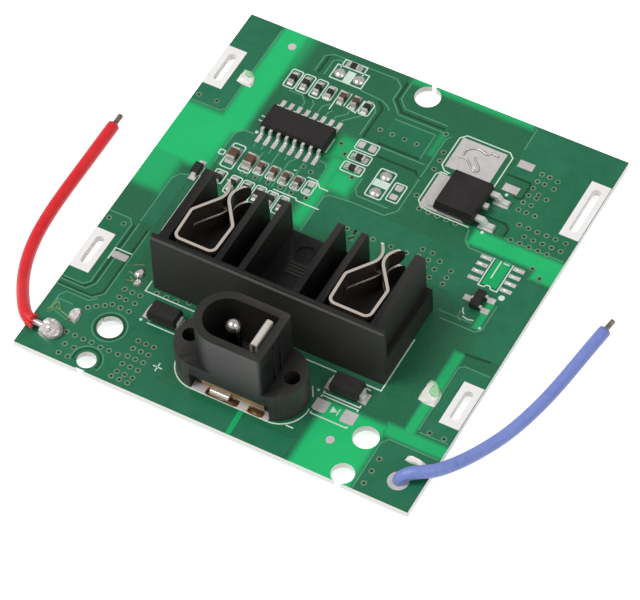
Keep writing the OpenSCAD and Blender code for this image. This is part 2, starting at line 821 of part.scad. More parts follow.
module jack_housing() {
  color([0.18, 0.18, 0.18])
    translate([0, 0, top])
      difference() {
        union() {
          translate([jack_x, jack_y])
            linear_extrude(flange_height)
              rotate([0, 0, 90])
                slot_shape(flange_width, flange_length);
          linear_extrude(tower_height)
            tower_plan(0);
          for (y = [-1, 1])
            translate([jack_x - tower_left + tower_length - eps, jack_y + y * 0.8 - 0.25,
              flange_height - eps])
              cube([0.25, 0.5, tower_height - flange_height - 0.8]);
        }
        translate([0, 0, socket_floor])
          linear_extrude(tower_height)
            tower_plan(tower_wall);
        for (x = [-1, 1])
          translate([jack_x + x * ear_spacing / 2, jack_y, -1])
            cylinder(d = ear_bore, h = flange_height + 2);
        translate([recess_x - recess_width / 2, jack_y - flange_width, -1])
          cube([recess_width, base_front - jack_y + flange_width, recess_height + 1]);
        translate([base_left, base_front - 1, -1])
          cube([base_right - base_left, base_back - base_front + 1, base_thickness + 1]);
        translate([pin_x, pin_y, 0])
          cylinder(d = shank_diameter, h = socket_floor + 1);
        translate([spring_x - spring_fold + spring_strip / 2 - leg_clearance,
          spring_y - spring_width / 2 - leg_clearance, 0])
          cube([spring_fold + 2 * leg_clearance, spring_width + 2 * leg_clearance,
            socket_floor + 1]);
      }
}

// Base strip that carries the contacts, with a pocket below for the solder lug
module jack_base() {
  color([0.62, 0.45, 0.3])
    translate([0, 0, top])
      difference() {
        translate([base_left, base_front, pad_thickness])
          cube([base_right - base_left, base_back - base_front, base_thickness - pad_thickness]);
        translate([lug_x - lug_width / 2 - leg_clearance, base_front - 1, 0])
          cube([lug_width + 2 * leg_clearance, pin_y + shank_diameter - base_front + 1,
            pad_thickness + lug_thickness]);
        translate([pin_x, pin_y, -1])
          cylinder(d = shank_diameter, h = base_thickness + 2);
        translate([spring_x - spring_strip / 2, spring_y - tail_width / 2, -1])
          cube([spring_strip, tail_width, base_thickness + 2]);
      }
}

module jack_pin() {
  color([0.85, 0.84, 0.82])
    translate([pin_x, pin_y, top])
      difference() {
        union() {
          translate([0, 0, pad_thickness + lug_thickness])
            cylinder(d = shank_diameter, h = socket_floor);
          translate([0, 0, socket_floor])
            cylinder(d = pin_diameter, h = pin_height - socket_floor - pin_diameter / 2);
          translate([0, 0, pin_height - pin_diameter / 2])
            sphere(d = pin_diameter);
        }
        translate([-pin_slit / 2, -pin_diameter, pin_height - pin_slit_depth])
          cube([pin_slit, 2 * pin_diameter, pin_slit_depth + 1]);
      }
}

// Folded contact spring: both legs, the flat fold with round bends, and the narrow solder tail
module jack_spring() {
  fold = spring_fold / 2;
  shoulder = spring_height - spring_bend;
  color([0.8, 0.79, 0.77])
    translate([spring_x - fold + spring_strip / 2, spring_y, top]) {
      rotate([90, 0, 0])
        linear_extrude(spring_width, center = true)
          union() {
            for (side = [-1, 1])
              intersection() {
                translate([side * (fold - spring_bend), shoulder])
                  difference() {
                    circle(r = spring_bend);
                    circle(r = spring_bend - spring_strip);
                  }
                translate([side > 0 ? fold - spring_bend : -fold, shoulder])
                  square([spring_bend, spring_bend]);
              }
            translate([spring_bend - fold - eps, spring_height - spring_strip])
              square([2 * (fold - spring_bend + eps), spring_strip]);
            translate([fold - spring_strip, base_thickness])
              square([spring_strip, shoulder - base_thickness]);
            polygon([[-fold, shoulder], [-fold + spring_strip, shoulder],
              [-fold * 1.3 + spring_strip, spring_height * 0.6],
              [-fold * 0.7 + spring_strip, socket_floor + 0.4], [-fold * 0.7, socket_floor + 0.4],
              [-fold * 1.3, spring_height * 0.6]]);
          }
      translate([fold - spring_strip, -tail_width / 2, -top])
        cube([spring_strip, tail_width, top + base_thickness + eps]);
    }
}

// Solder lug: tongue under the base strip, bent down through the board slot
module pin_lug() {
  bend = lug_thickness;
  rear = pin_y + shank_diameter * 0.8;
  color([0.82, 0.8, 0.78])
    translate([lug_x, 0, 0])
      rotate([90, 0, 90])
        linear_extrude(lug_width, center = true)
          union() {
            translate([lug_y + bend / 2, seat])
              square([rear - lug_y - bend / 2, lug_thickness]);
            translate([lug_y + bend / 2, seat])
              intersection() {
                circle(r = bend);
                translate([-bend, 0])
                  square([bend, bend]);
              }
            translate([lug_y - bend / 2, 0])
              square([bend, seat]);
          }
}

module lug_slots() {
  translate([lug_x - lug_width / 2 - 0.6, lug_y - lug_slot_width / 2])
    square([left_lug_slot, lug_slot_width]);
  translate([base_right + 0.3 - right_lug_slot, lug_y - lug_slot_width / 2])
    square([right_lug_slot, lug_slot_width]);
}

// ---------- controller chip ----------

module controller_body() {
  color([0.2, 0.18, 0.18])
    translate([controller_at.x, controller_at.y, seat + standoff])
      difference() {
        moulded_body(controller_length, controller_width, controller_height, 0.12);
        translate([-controller_length / 2 + 0.9, -controller_width / 2 + 0.8,
          controller_height - 0.06])
          cylinder(d = 0.8, h = 1, $fn = 24);
      }
}

module controller_leads() {
  color([0.8, 0.78, 0.76])
    for (i = [0:7], side = [-1, 1])
      translate([controller_at.x + (i - 3.5) * lead_pitch,
        controller_at.y + side * controller_width / 2, seat])
        rotate([0, 0, side * 90])
          gull_wing((controller_span - controller_width) / 2,
            standoff + controller_height * 0.5, lead_thickness, lead_width);
}

// ---------- power transistor ----------

transistor_exit = 0.95;

module transistor_body() {
  color([0.17, 0.17, 0.18])
    translate([transistor_at.x, transistor_at.y, seat])
      difference() {
        moulded_body(transistor_length, transistor_width, transistor_height, 0.25);
        translate([-transistor_length, -transistor_width, -1])
          cube([transistor_length + 1.2, 2 * transistor_width, tab_thickness + 1]);
      }
}

module transistor_tab() {
  half = transistor_width / 2 - 0.55;
  color([0.78, 0.76, 0.74])
    translate([transistor_at.x - transistor_length / 2, transistor_at.y, seat])
      linear_extrude(tab_thickness)
        polygon([[-tab_length, -half + 0.8], [-tab_length + 0.6, -half], [4.2, -half],
          [4.2, half], [-tab_length + 0.6, half], [-tab_length, half - 0.8]]);
}

module transistor_leads() {
  x = transistor_at.x + transistor_length / 2;
  color([0.8, 0.78, 0.76])
    translate([x, transistor_at.y, seat]) {
      for (y = [-1, 1])
        translate([0, y * transistor_pitch / 2, 0])
          gull_wing(2.7, transistor_height * 0.5, tab_thickness, 0.85);
      translate([0, -0.4, transistor_height * 0.5 - tab_thickness / 2])
        cube([0.7, 0.8, tab_thickness]);
    }
}

// ---------- power diodes ----------

module diode_body() {
  translate([0, 0, diode_strip])
    moulded_body(diode_length, diode_width, diode_height - diode_strip, 0.18);
}

// Strips that leave the body at half height and fold down and under it
module diode_terminals() {
  rise = diode_strip + (diode_height - diode_strip) / 2;
  for (side = [0, 1])
    mirror([side, 0, 0])
      rotate([90, 0, 0])
        linear_extrude(diode_strip_width, center = true)
          union() {
            translate([diode_length / 2 - 1.1, 0])
              square([1.1 + 0.2, diode_strip]);
            translate([diode_length / 2, 0])
              square([diode_strip + 0.12, rise + diode_strip / 2]);
          }
}

module left_diode_body() {
  color([0.17, 0.16, 0.16])
    translate([left_diode_at.x, left_diode_at.y, seat])
      diode_body();
}

module left_diode_terminals() {
  color([0.8, 0.78, 0.76])
    translate([left_diode_at.x, left_diode_at.y, seat])
      diode_terminals();
}

module right_diode_body() {
  color([0.17, 0.16, 0.16])
    translate([right_diode_at.x, right_diode_at.y, seat])
      diode_body();
}

module right_diode_terminals() {
  color([0.8, 0.78, 0.76])
    translate([right_diode_at.x, right_diode_at.y, seat])
      diode_terminals();
}

// ---------- small leaded parts ----------

module small_transistor_body() {
  color([0.17, 0.17, 0.17])
    translate([small_transistor_at.x, small_transistor_at.y, seat + standoff / 2])
      moulded_body(1.3, 2.9, 1.0, 0.08);
}

module small_transistor_leads() {
  color([0.8, 0.78, 0.76])
    translate([small_transistor_at.x, small_transistor_at.y, seat])
      for (lead = [[180, 0], [0, -0.95], [0, 0.95]])
        rotate([0, 0, lead[0]])
          translate([1.3 / 2, lead[1], 0])
            gull_wing(0.75, standoff / 2 + 0.5, 0.14, 0.42);
}

module side_diode_body() {
  color([0.17, 0.17, 0.17])
    translate([side_diode_at.x, side_diode_at.y, seat])
      rotate([0, 0, 90])
        moulded_body(1.7, 1.2, 0.9, 0.06);
}

module side_diode_terminals() {
  color([0.8, 0.78, 0.76])
    for (y = [-1, 1])
      translate([side_diode_at.x, side_diode_at.y, seat])
        scale_y(y)
          translate([-0.3, 1.7 / 2, 0])
            cube([0.6, 0.45, 0.5]);
}

// ---------- chip capacitors and resistors ----------

module capacitor(i, size) {
  color([0.5, 0.35, 0.26])
    place_chip([capacitor_x[i], capacitor_y[i]], 0)
      translate([0, 0, pad_thickness])
        chip_body(size);
}

module capacitor_1() {
  capacitor(0, big_chip);
}

module capacitor_2() {
  capacitor(1, big_chip);
}

module capacitor_3() {
  capacitor(2, small_cap);
}

module capacitor_4() {
  capacitor(3, small_cap);
}

module capacitor_5() {
  capacitor(4, small_cap);
}

module capacitor_6() {
  capacitor(5, small_cap);
}

module chip_resistor(at, turn) {
  color([0.13, 0.13, 0.14])
    place_chip(at, turn)
      translate([0, 0, pad_thickness])
        chip_body(resistor);
}

module resistor_1() {
  chip_resistor([resistor_x[0], resistor_y], 0);
}

module resistor_2() {
  chip_resistor([resistor_x[1], resistor_y], 0);
}

module resistor_3() {
  chip_resistor([resistor_x[2], resistor_y], 0);
}

module resistor_4() {
  chip_resistor([resistor_x[3], resistor_y], 0);
}

module resistor_5() {
  chip_resistor([resistor_x[4], resistor_y], 0);
}

module resistor_6() {
  chip_resistor([resistor_x[5], resistor_y], 0);
}

module rear_resistor_1() {
  chip_resistor([rear_resistor_x[0], rear_row_y], 0);
}

module rear_resistor_2() {
  chip_resistor([rear_resistor_x[1], rear_row_y], 0);
}

module rear_resistor_3() {
  chip_resistor([rear_resistor_x[2], rear_row_y], 0);
}

module rear_resistor_4() {
  chip_resistor([rear_resistor_x[3], rear_row_y], 0);
}

module rear_resistor_5() {
  chip_resistor([rear_resistor_x[4], rear_row_y], 0);
}

module rear_capacitor() {
  color([0.5, 0.35, 0.26])
    place_chip([-8.7, rear_row_y], 0)
      translate([0, 0, pad_thickness])
        chip_body(small_cap);
}

module rear_chip() {
  color([0.55, 0.42, 0.33])
    place_chip([-10.7, rear_row_y], 0)
      translate([0, 0, pad_thickness])
        chip_body(small_cap);
}

module side_resistor_1() {
  chip_resistor(side_chip_at[0], 90);
}

module side_resistor_2() {
  chip_resistor(side_chip_at[1], 90);
}

module sensor_chip() {
  chip_resistor(sensor_chip_at, 90);
}

// Metal end caps and solder fillets of every chip part
module chip_terminals() {
  color([0.8, 0.78, 0.76])
    translate([0, 0, pad_thickness]) {
      for (i = [0:5]) {
        place_chip([capacitor_x[i], capacitor_y[i]], 0)
          chip_caps(i < 2 ? big_chip : small_cap);
        place_chip([resistor_x[i], resistor_y], 0)
          chip_caps(resistor);
      }
      for (x = rear_resistor_x)
        place_chip([x, rear_row_y], 0)
          chip_caps(resistor);
      for (x = [-10.7, -8.7])
        place_chip([x, rear_row_y], 0)
          chip_caps(small_cap);
      for (at = side_chip_at)
        place_chip(at, 90)
          chip_caps(resistor);
      place_chip(sensor_chip_at, 90)
        chip_caps(resistor);
    }
}

// ---------- solder ----------

joint_bore = 0.9;

// Round soldered lands of the two thermistor places, plugged through the board
module thermistor_joints() {
  cap = 0.85;
  color([0.8, 0.78, 0.76])
    for (p = thermistor_at)
      translate([p.x, p.y, 0]) {
        intersection() {
          translate([0, 0, top + 0.4 - 1.1])
            sphere(r = 1.1, $fn = 32);
          translate([-2, -2, top])
            cube([4, 4, 2]);
        }
        translate([0, 0, solder_drop - eps])
          cylinder(d = joint_bore, h = board_thickness + 2 * eps);
        cylinder(r1 = 0.35, r2 = cap, h = solder_drop);
      }
}

// Solder wells: places, tied to the board's side edges and the block's end, and radius
bridge_at = [[side_edge - 6.15, -14.5], [5.25 - side_edge, 21.5], [4.85 - side_edge, -24.8],
  [side_edge - 2.78, -24.7], [-block_width / 2 - 2.4, -15.6]];
bridge_radius = [1.3, 1.1, 0.8, 0.9, 0.7];
bridge_height = 0.35;

// Solder wells on the two test lands and the ones beside the wires
module solder_bridges() {
  color([0.8, 0.78, 0.76])
    for (i = [0:4]) {
      ball = bridge_radius[i] * 1.6;
      translate([bridge_at[i].x, bridge_at[i].y, top])
        intersection() {
          translate([0, 0, bridge_height - ball])
            sphere(r = ball, $fn = 32);
          translate([-ball, -ball, 0])
            cube([2 * ball, 2 * ball, 2 * bridge_height]);
        }
    }
}

// ---------- wires ----------

// Tube of even diameter swept along a route; the first ring faces along `start`
module wire(route, start) {
  last = len(route) - 1;
  rings = [for (i = [0:last])
    let (
      a = route[max(i - 1, 0)],
      b = route[min(i + 1, last)],
      t = i == 0 ? start : unit(b - a),
      h = flat(b - a),
      side = [-h.y, h.x, 0],
      up = cross(t, side))
    for (k = [0:wire_sides - 1])
      route[i] + wire_diameter / 2 * (cos(k * 360 / wire_sides) * side +
        sin(k * 360 / wire_sides) * up)];
  n = wire_sides;
  faces = concat(
    [[for (k = [0:n - 1]) k]],
    [[for (k = [n - 1:-1:0]) last * n + k]],
    [for (i = [0:last - 1], k = [0:n - 1])
      [i * n + k, (i + 1) * n + k, i * n + (k + 1) % n]],
    [for (i = [0:last - 1], k = [0:n - 1])
      [(i + 1) * n + k, (i + 1) * n + (k + 1) % n, i * n + (k + 1) % n]]);
  polyhedron(points = rings, faces = faces, convexity = 6);
}

module red_wire() {
  color([0.8, 0.1, 0.12])
    wire(red_route, [-1, 0, 0]);
}

module blue_wire() {
  color([0.35, 0.45, 0.8])
    wire(blue_route, [0, 0, 1]);
}

// Tinned strands that stand out of a wire's far end
module strand(route) {
  last = len(route) - 1;
  along = unit(route[last] - route[last - 1]);
  color([0.8, 0.78, 0.76])
    translate(route[last])
      rotate([0, 0, atan2(along.y, along.x)])
        rotate([0, 90, 0])
          cylinder(d = strand_diameter, h = strand_length, $fn = 16);
}

module red_strand() {
  strand(red_route);
}

module blue_strand() {
  strand(blue_route);
}

// Solder under a through-hole, from the board's lower face to the solder ends
module solder_cone(base) {
  cylinder(r1 = base * 0.45, r2 = base, h = solder_drop, $fn = 32);
}

module red_joint() {
  start = red_route[0];
  dome = (pow(red_blob_radius, 2) + pow(red_blob_height, 2)) / 2 / red_blob_height;
  color([0.8, 0.78, 0.76]) {
    translate([red_joint_at.x, red_joint_at.y, 0]) {
      intersection() {
        translate([0, 0, top + red_blob_height - dome])
          sphere(r = dome);
        translate([-3, -3, top])
          cube([6, 6, 3]);
      }
      translate([0, 0, solder_drop - eps])
        cylinder(d = wire_hole, h = board_thickness + 2 * eps);
      solder_cone(1.2);
    }
    translate(start)
      rotate([0, 90, 0])
        cylinder(d = strand_diameter, h = red_joint_at.x - start.x, $fn = 24);
  }
}

module blue_joint() {
  color([0.8, 0.78, 0.76])
    translate([blue_joint_at.x, blue_joint_at.y, 0]) {
      translate([0, 0, top])
        cylinder(d = blue_ring, h = pad_thickness);
      translate([0, 0, solder_drop - eps])
        cylinder(d = wire_hole, h = board_thickness + 2 * eps);
      solder_cone(1.2);
    }
}

// Solder round the clip legs, the spring's tail and the lug, below the board
module underside_joints() {
  reach = solder_drop - 0.2;
  color([0.8, 0.78, 0.76])
    difference() {
      union() {
        each_leg_joint()
          cylinder(r1 = 0.8, r2 = 1.5, h = reach, $fn = 32);
        translate([spring_x, spring_y, 0.2])
          cylinder(r1 = 0.8, r2 = 1.5, h = reach, $fn = 32);
        translate([lug_x, lug_y, 0.2])
          rotate([90, 0, 90])
            linear_extrude(lug_width + 0.6, center = true)
              polygon([[-0.6, 0], [0.6, 0], [1.1, reach], [-1.1, reach]]);
      }
      for (bay = [-1, 1])
        translate([bay * bay_x, 0, -1])
          linear_extrude(solder_drop + 2)
            intersection() {
              clip_plan();
              translate([-clip_width, leg_y - leg_width / 2])
                square([2 * clip_width, leg_width]);
            }
      translate([spring_x - spring_strip / 2, spring_y - tail_width / 2, -1])
        cube([spring_strip, tail_width, solder_drop + 2]);
      translate([lug_x - lug_width / 2, lug_y - lug_thickness / 2, -1])
        cube([lug_width, lug_thickness, solder_drop + 2]);
    }
}

module each_leg_joint() {
  for (bay = [-1, 1], side = [-1, 1])
    translate([bay * bay_x + side * leg_x, leg_y, 0.2])
      children();
}

// ---------- assembly ----------

circuit_board();
slot_lands();
surface_pads();
terminal_block();
left_clip();
right_clip();
jack_housing();
jack_base();
jack_pin();
jack_spring();
pin_lug();
controller_body();
controller_leads();
transistor_body();
transistor_tab();
transistor_leads();
left_diode_body();
left_diode_terminals();
right_diode_body();
right_diode_terminals();
small_transistor_body();
small_transistor_leads();
side_diode_body();
side_diode_terminals();
capacitor_1();
capacitor_2();
capacitor_3();
capacitor_4();
capacitor_5();
capacitor_6();
resistor_1();
resistor_2();
resistor_3();
resistor_4();
resistor_5();
resistor_6();
rear_resistor_1();
rear_resistor_2();
rear_resistor_3();
rear_resistor_4();
rear_resistor_5();
rear_capacitor();
rear_chip();
side_resistor_1();
side_resistor_2();
sensor_chip();
chip_terminals();
thermistor_joints();
solder_bridges();
red_wire();
blue_wire();
red_strand();
blue_strand();
red_joint();
blue_joint();
underside_joints();
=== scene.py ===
import json
import math
import random

import bpy
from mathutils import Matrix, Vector, geometry, noise


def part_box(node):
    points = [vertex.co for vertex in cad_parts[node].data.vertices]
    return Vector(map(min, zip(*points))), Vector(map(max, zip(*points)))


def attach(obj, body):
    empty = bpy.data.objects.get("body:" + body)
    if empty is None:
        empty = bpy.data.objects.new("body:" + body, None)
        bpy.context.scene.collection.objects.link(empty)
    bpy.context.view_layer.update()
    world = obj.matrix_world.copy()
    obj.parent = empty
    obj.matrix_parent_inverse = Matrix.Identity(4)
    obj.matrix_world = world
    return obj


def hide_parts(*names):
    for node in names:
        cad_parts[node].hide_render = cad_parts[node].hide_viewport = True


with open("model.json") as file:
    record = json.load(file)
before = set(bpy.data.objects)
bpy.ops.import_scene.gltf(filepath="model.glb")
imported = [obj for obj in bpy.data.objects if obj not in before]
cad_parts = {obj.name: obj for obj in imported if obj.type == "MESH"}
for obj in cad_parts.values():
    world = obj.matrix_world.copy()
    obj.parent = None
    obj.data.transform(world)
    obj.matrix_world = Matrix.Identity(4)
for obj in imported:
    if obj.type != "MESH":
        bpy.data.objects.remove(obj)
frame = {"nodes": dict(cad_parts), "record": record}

MM = 0.001
NODES = frame["nodes"]
SCENE = bpy.context.scene
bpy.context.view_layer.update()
LOW, TOP = (round(corner.z / MM, 3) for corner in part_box("circuit_board"))      # the board's two faces, in mm


# ---------------------------------------------------------------- camera
cam = bpy.data.objects.new("camera", bpy.data.cameras.new("camera"))
cam.location = (0.16001, -0.25834, 0.39903)
cam.rotation_euler = [math.radians(a) for a in (36.6233, 2.3185, 28.8829)]
cam.data.lens = 208.03
cam.data.sensor_width = 36
cam.data.clip_start = 0.01
SCENE.collection.objects.link(cam)
SCENE.camera = cam


# ---------------------------------------------------------------- materials
class Tree:
    """Short calls for a material's nodes."""

    def __init__(self, name):
        self.mat = bpy.data.materials.new(name)
        self.mat.use_nodes = True
        self.nodes = self.mat.node_tree.nodes
        self.links = self.mat.node_tree.links
        self.bsdf = self.nodes["Principled BSDF"]
        self.coords = self.nodes.new("ShaderNodeTexCoord").outputs["Object"]

    def put(self, socket, value):
        if isinstance(value, bpy.types.NodeSocket):
            self.links.new(value, socket)
        elif isinstance(value, (tuple, list)) and len(value) == 3 and socket.type == "RGBA":
            socket.default_value = (*value, 1)
        else:
            socket.default_value = value

    def set(self, **values):
        for key, value in values.items():
            self.put(self.bsdf.inputs[key.replace("_", " ")], value)

    def noise(self, scale, detail=4.0, rough=0.55, stretch=None):
        node = self.nodes.new("ShaderNodeTexNoise")
        node.inputs["Scale"].default_value = scale
        node.inputs["Detail"].default_value = detail
        node.inputs["Roughness"].default_value = rough
        source = self.coords
        if stretch:
            mapping = self.nodes.new("ShaderNodeMapping")
            mapping.inputs["Scale"].default_value = stretch
            self.links.new(source, mapping.inputs["Vector"])
            source = mapping.outputs["Vector"]
        self.links.new(source, node.inputs["Vector"])
        return node.outputs["Fac"]

    def cells(self, scale):
        node = self.nodes.new("ShaderNodeTexVoronoi")
        node.inputs["Scale"].default_value = scale
        self.links.new(self.coords, node.inputs["Vector"])
        return node.outputs["Distance"]

    def span(self, value, a, b, c=0.0, d=1.0, smooth=False):
        node = self.nodes.new("ShaderNodeMapRange")
        if smooth:
            node.interpolation_type = "SMOOTHSTEP"
        for i, x in enumerate((value, a, b, c, d)):
            self.put(node.inputs[i], x)
        return node.outputs["Result"]

    def math(self, op, a, b=0.0):
        node = self.nodes.new("ShaderNodeMath")
        node.operation = op
        self.put(node.inputs[0], a)
        self.put(node.inputs[1], b)
        return node.outputs[0]

    def vec(self, op, a, b=(0.0, 0.0, 0.0)):
        node = self.nodes.new("ShaderNodeVectorMath")
        node.operation = op
        self.put(node.inputs[0], a)
        if op != "ABSOLUTE":
            self.put(node.inputs[1], b)
        return node.outputs[0]

    def split(self, vector):
        node = self.nodes.new("ShaderNodeSeparateXYZ")
        self.links.new(vector, node.inputs[0])
        return node.outputs

    def mix(self, fac, a, b):
        node = self.nodes.new("ShaderNodeMix")
        node.data_type = "RGBA"
        self.put(node.inputs["Factor"], fac)
        self.put([s for s in node.inputs if s.name == "A" and s.type == "RGBA"][0], a)
        self.put([s for s in node.inputs if s.name == "B" and s.type == "RGBA"][0], b)
        return [s for s in node.outputs if s.type == "RGBA"][0]

    def bump(self, height, strength, depth):
        node = self.nodes.new("ShaderNodeBump")
        node.inputs["Strength"].default_value = strength
        node.inputs["Distance"].default_value = depth
        self.links.new(height, node.inputs["Height"])
        self.links.new(node.outputs["Normal"], self.bsdf.inputs["Normal"])

    def normal(self):
        node = self.nodes.new("ShaderNodeNewGeometry")
        return self.split(node.outputs["Normal"])


def rgb(r, g, b):
    """An sRGB colour, 0 to 255, in linear light."""
    return tuple(c / 12.92 if c <= 0.04045 else ((c + 0.055) / 1.055) ** 2.4
                 for c in (r / 255, g / 255, b / 255))


def soft_box(t, xyz, x0, y0, x1, y1, soft):
    """1 inside a flat box and 0 outside, over a soft edge, all in mm."""
    d = t.vec("SUBTRACT", xyz, ((x0 + x1) / 2 * MM, (y0 + y1) / 2 * MM, 0))
    d = t.vec("ABSOLUTE", d)
    d = t.split(t.vec("SUBTRACT", d, ((x1 - x0) / 2 * MM, (y1 - y0) / 2 * MM, 0)))
    d = t.math("MAXIMUM", d[0], d[1])
    return t.span(d, soft * MM, -soft * MM, 0.0, 1.0, smooth=True)


# Where the laminate has no copper under the mask: two corners, edge softness in mm, strength
BARE_ZONES = [
    (-24.3, 12.0, -20.2, 34, 0.8, 1), (-23.9, 26.0, -19.2, 34, 1.4, 0.6),
    (-31, 4.6, -21.4, 14.4, 0.9, 1), (-31, -1.5, -25.1, 6.0, 1.0, 0.75),
    (-7.0, 2.0, -4.9, 15.0, 0.9, 0.85), (-5.6, 9.4, -2.0, 13.2, 1.0, 0.9),
    (-8.2, 14.6, -4.6, 18.6, 1.1, 0.7), (16.4, 9.9, 31, 12.5, 0.5, 0.95),
    (26.6, 8.3, 31, 10.6, 0.5, 0.9), (-3.5, 31.4, 15.4, 34, 0.7, 0.8),
    (12.2, -34, 21.2, -21.6, 0.7, 1), (21.0, -23.0, 31, -21.0, 0.5, 0.8),
    (23.3, -21.5, 24.8, -6.8, 0.35, 0.8), (23.5, -2.4, 24.5, 2.2, 0.3, 0.75),
    (22.3, 4.5, 23.3, 9.5, 0.15, 0.9), (4.4, 21.0, 5.3, 25.4, 0.5, 0.45)]


def board_material():
    """Green mask, brighter over bare laminate, with pale woven edges."""
    t = Tree("solder_mask")
    z = t.normal()[2]
    bright = None
    for *zone, strength in BARE_ZONES:
        one = t.math("MULTIPLY", soft_box(t, t.coords, *zone), strength)
        bright = one if bright is None else t.math("MAXIMUM", bright, one)
    cloud = t.noise(130, 3)
    weave = t.noise(2600, 2)
    over = t.mix(cloud, rgb(16, 97, 62), rgb(26, 109, 73))
    bare = t.mix(cloud, rgb(0, 184, 104), rgb(4, 206, 120))
    face = t.mix(bright, over, bare)
    face = t.mix(t.span(weave, 0.35, 0.75, 0.0, 0.05), face, rgb(120, 190, 150))
    grain = t.noise(5200, 3, 0.6, (0.25, 0.25, 3.0))
    side = t.mix(grain, rgb(236, 238, 230), rgb(254, 254, 250))
    flat = t.span(t.math("ABSOLUTE", z), 0.5, 0.8)
    t.set(Base_Color=t.mix(flat, side, face), Roughness=t.span(cloud, 0.3, 0.7, 0.3, 0.42),
          Specular_IOR_Level=0.5, Coat_Weight=0.25, Coat_Roughness=0.25)
    t.bump(t.noise(900, 5), 0.12, 3e-5)
    return t.mat


def plain(name, a, b, rough=(0.4, 0.5), grain=900.0, bump=(0.2, 2e-5), metal=0.0,
          stretch=None, speck=None, edge=None, wall=None, cap=None, shade_below=None, **more):
    """A procedural finish: two tones over noise, fine bumps, specks, and sharp edges painted lighter as a
    painted edge highlight.
    wall colours upright faces, cap colours faces that look up (a painted highlight), deep darkens below a
    height (painted shade)."""
    t = Tree(name)
    fine = t.noise(grain, 4.0, 0.6, stretch)
    coarse = t.noise(grain / 7, 3)
    both = t.math("MULTIPLY", t.math("ADD", fine, coarse), 0.5)
    col = t.mix(t.span(both, 0.36, 0.64), a, b)
    if speck:
        colour, size, share = speck
        dots = t.span(t.cells(size), 0.05, 0.16, 1.0, 0.0)
        few = t.span(t.noise(size * 0.3, 2), 1.0 - share, 1.02 - share)
        col = t.mix(t.math("MULTIPLY", dots, few), col, colour)
    # Sharp edges painted lighter: a painted edge highlight
    if edge:
        corner = t.nodes.new("ShaderNodeNewGeometry").outputs["Pointiness"]
        col = t.mix(t.span(corner, 0.52, 0.62, 0.0, edge[1]), col, edge[0])
    # Upright faces take the wall colour; at the slot lands this is painted light on shaded walls
    if wall:
        col = t.mix(t.span(t.math("ABSOLUTE", t.normal()[2]), 0.3, 0.6), wall, col)
    # Faces that look up take the cap colour: painted light falling from above
    if cap:
        col = t.mix(t.span(t.normal()[2], 0.5, 0.9), col, cap)
    # Colour below a height turns dark: painted shade
    if shade_below:
        col = t.mix(t.span(t.split(t.coords)[2], shade_below[0] * MM, shade_below[1] * MM), shade_below[2], col)
    t.set(Base_Color=col, Roughness=t.span(both, 0.3, 0.7, *rough), Metallic=metal, **more)
    t.bump(fine, *bump)
    return t.mat


MASK = board_material()
POUR = plain("mask_over_copper", rgb(18, 106, 71), rgb(30, 119, 84), (0.3, 0.4), 700,
             (0.1, 2e-5), Coat_Weight=0.25, Coat_Roughness=0.25)
TRACE = plain("mask_edge", rgb(70, 146, 108), rgb(94, 162, 126), (0.3, 0.4), 900, (0.1, 1e-5))
BARE = plain("mask_over_bare", rgb(0, 168, 94), rgb(6, 184, 106), (0.3, 0.42), 700, (0.1, 2e-5))
VIA_RING = plain("via_ring", rgb(84, 130, 98), rgb(124, 160, 130), (0.3, 0.42), 5200, (0.3, 2e-5))
GAP = plain("mask_gap", rgb(8, 66, 38), rgb(14, 78, 46), (0.35, 0.45), 900, (0.1, 1e-5))
SILK = plain("legend_ink", rgb(205, 232, 215), rgb(226, 243, 232), (0.55, 0.65), 4000, (0.3, 1e-5))
TIN = plain("tinned_land", rgb(204, 198, 195), rgb(224, 219, 216), (0.3, 0.46), 900,
            (0.45, 5e-5), 0.2, speck=(rgb(160, 148, 142), 2600, 0.35))
# Slot lands: near-white, partly the tin's own pale colour and partly a painted reflection; upright faces plain
# white as painted light in the shaded slots
SLOT_LAND = plain("slot_land", rgb(248, 243, 243), rgb(254, 252, 251), (0.5, 0.62), 1500,
                  (0.35, 3e-5), wall=rgb(254, 252, 250), speck=(rgb(226, 200, 204), 3000, 0.4))
SOLDER = plain("solder", rgb(206, 201, 197), rgb(234, 230, 227), (0.18, 0.32), 1100,
               (0.6, 8e-5), 0.6)
CAPS = plain("chip_ends", rgb(178, 172, 166), rgb(228, 225, 220), (0.34, 0.5), 5200,
             (0.6, 6e-5), 0.2, speck=(rgb(120, 108, 98), 4200, 0.4))
GLINT = plain("bright_solder", rgb(232, 232, 222), rgb(255, 252, 250), (0.3, 0.5), 1300,
              (0.8, 1e-4), 0.0, speck=(rgb(176, 208, 178), 1500, 0.4))
RESIDUE = plain("green_residue", rgb(140, 208, 150), rgb(196, 232, 192), (0.2, 0.4), 1900,
                (0.5, 6e-5), speck=(rgb(96, 112, 72), 1700, 0.5))
CRUST = plain("reworked_solder", rgb(206, 190, 190), rgb(254, 248, 248), (0.16, 0.32), 1500,
              (0.9, 1.5e-4), 0.3, speck=(rgb(70, 58, 54), 1300, 0.35))
# Darker grey for the solder ridges: painted shade on their flanks
RIDGE_SHADE = plain("ridge_solder_shade", rgb(138, 133, 130), rgb(168, 163, 160), (0.3, 0.45), 2600,
             (0.5, 6e-5), 0.2)
STRAND = plain("tinned_copper_strand", rgb(98, 84, 76), rgb(176, 164, 154), (0.25, 0.4), 1500,
               (0.8, 1e-4), 0.6, (1, 1, 0.3))
LEAD = plain("tinned_lead", rgb(222, 221, 217), rgb(240, 239, 235), (0.24, 0.36), 1500,
             (0.3, 3e-5), 0.4)
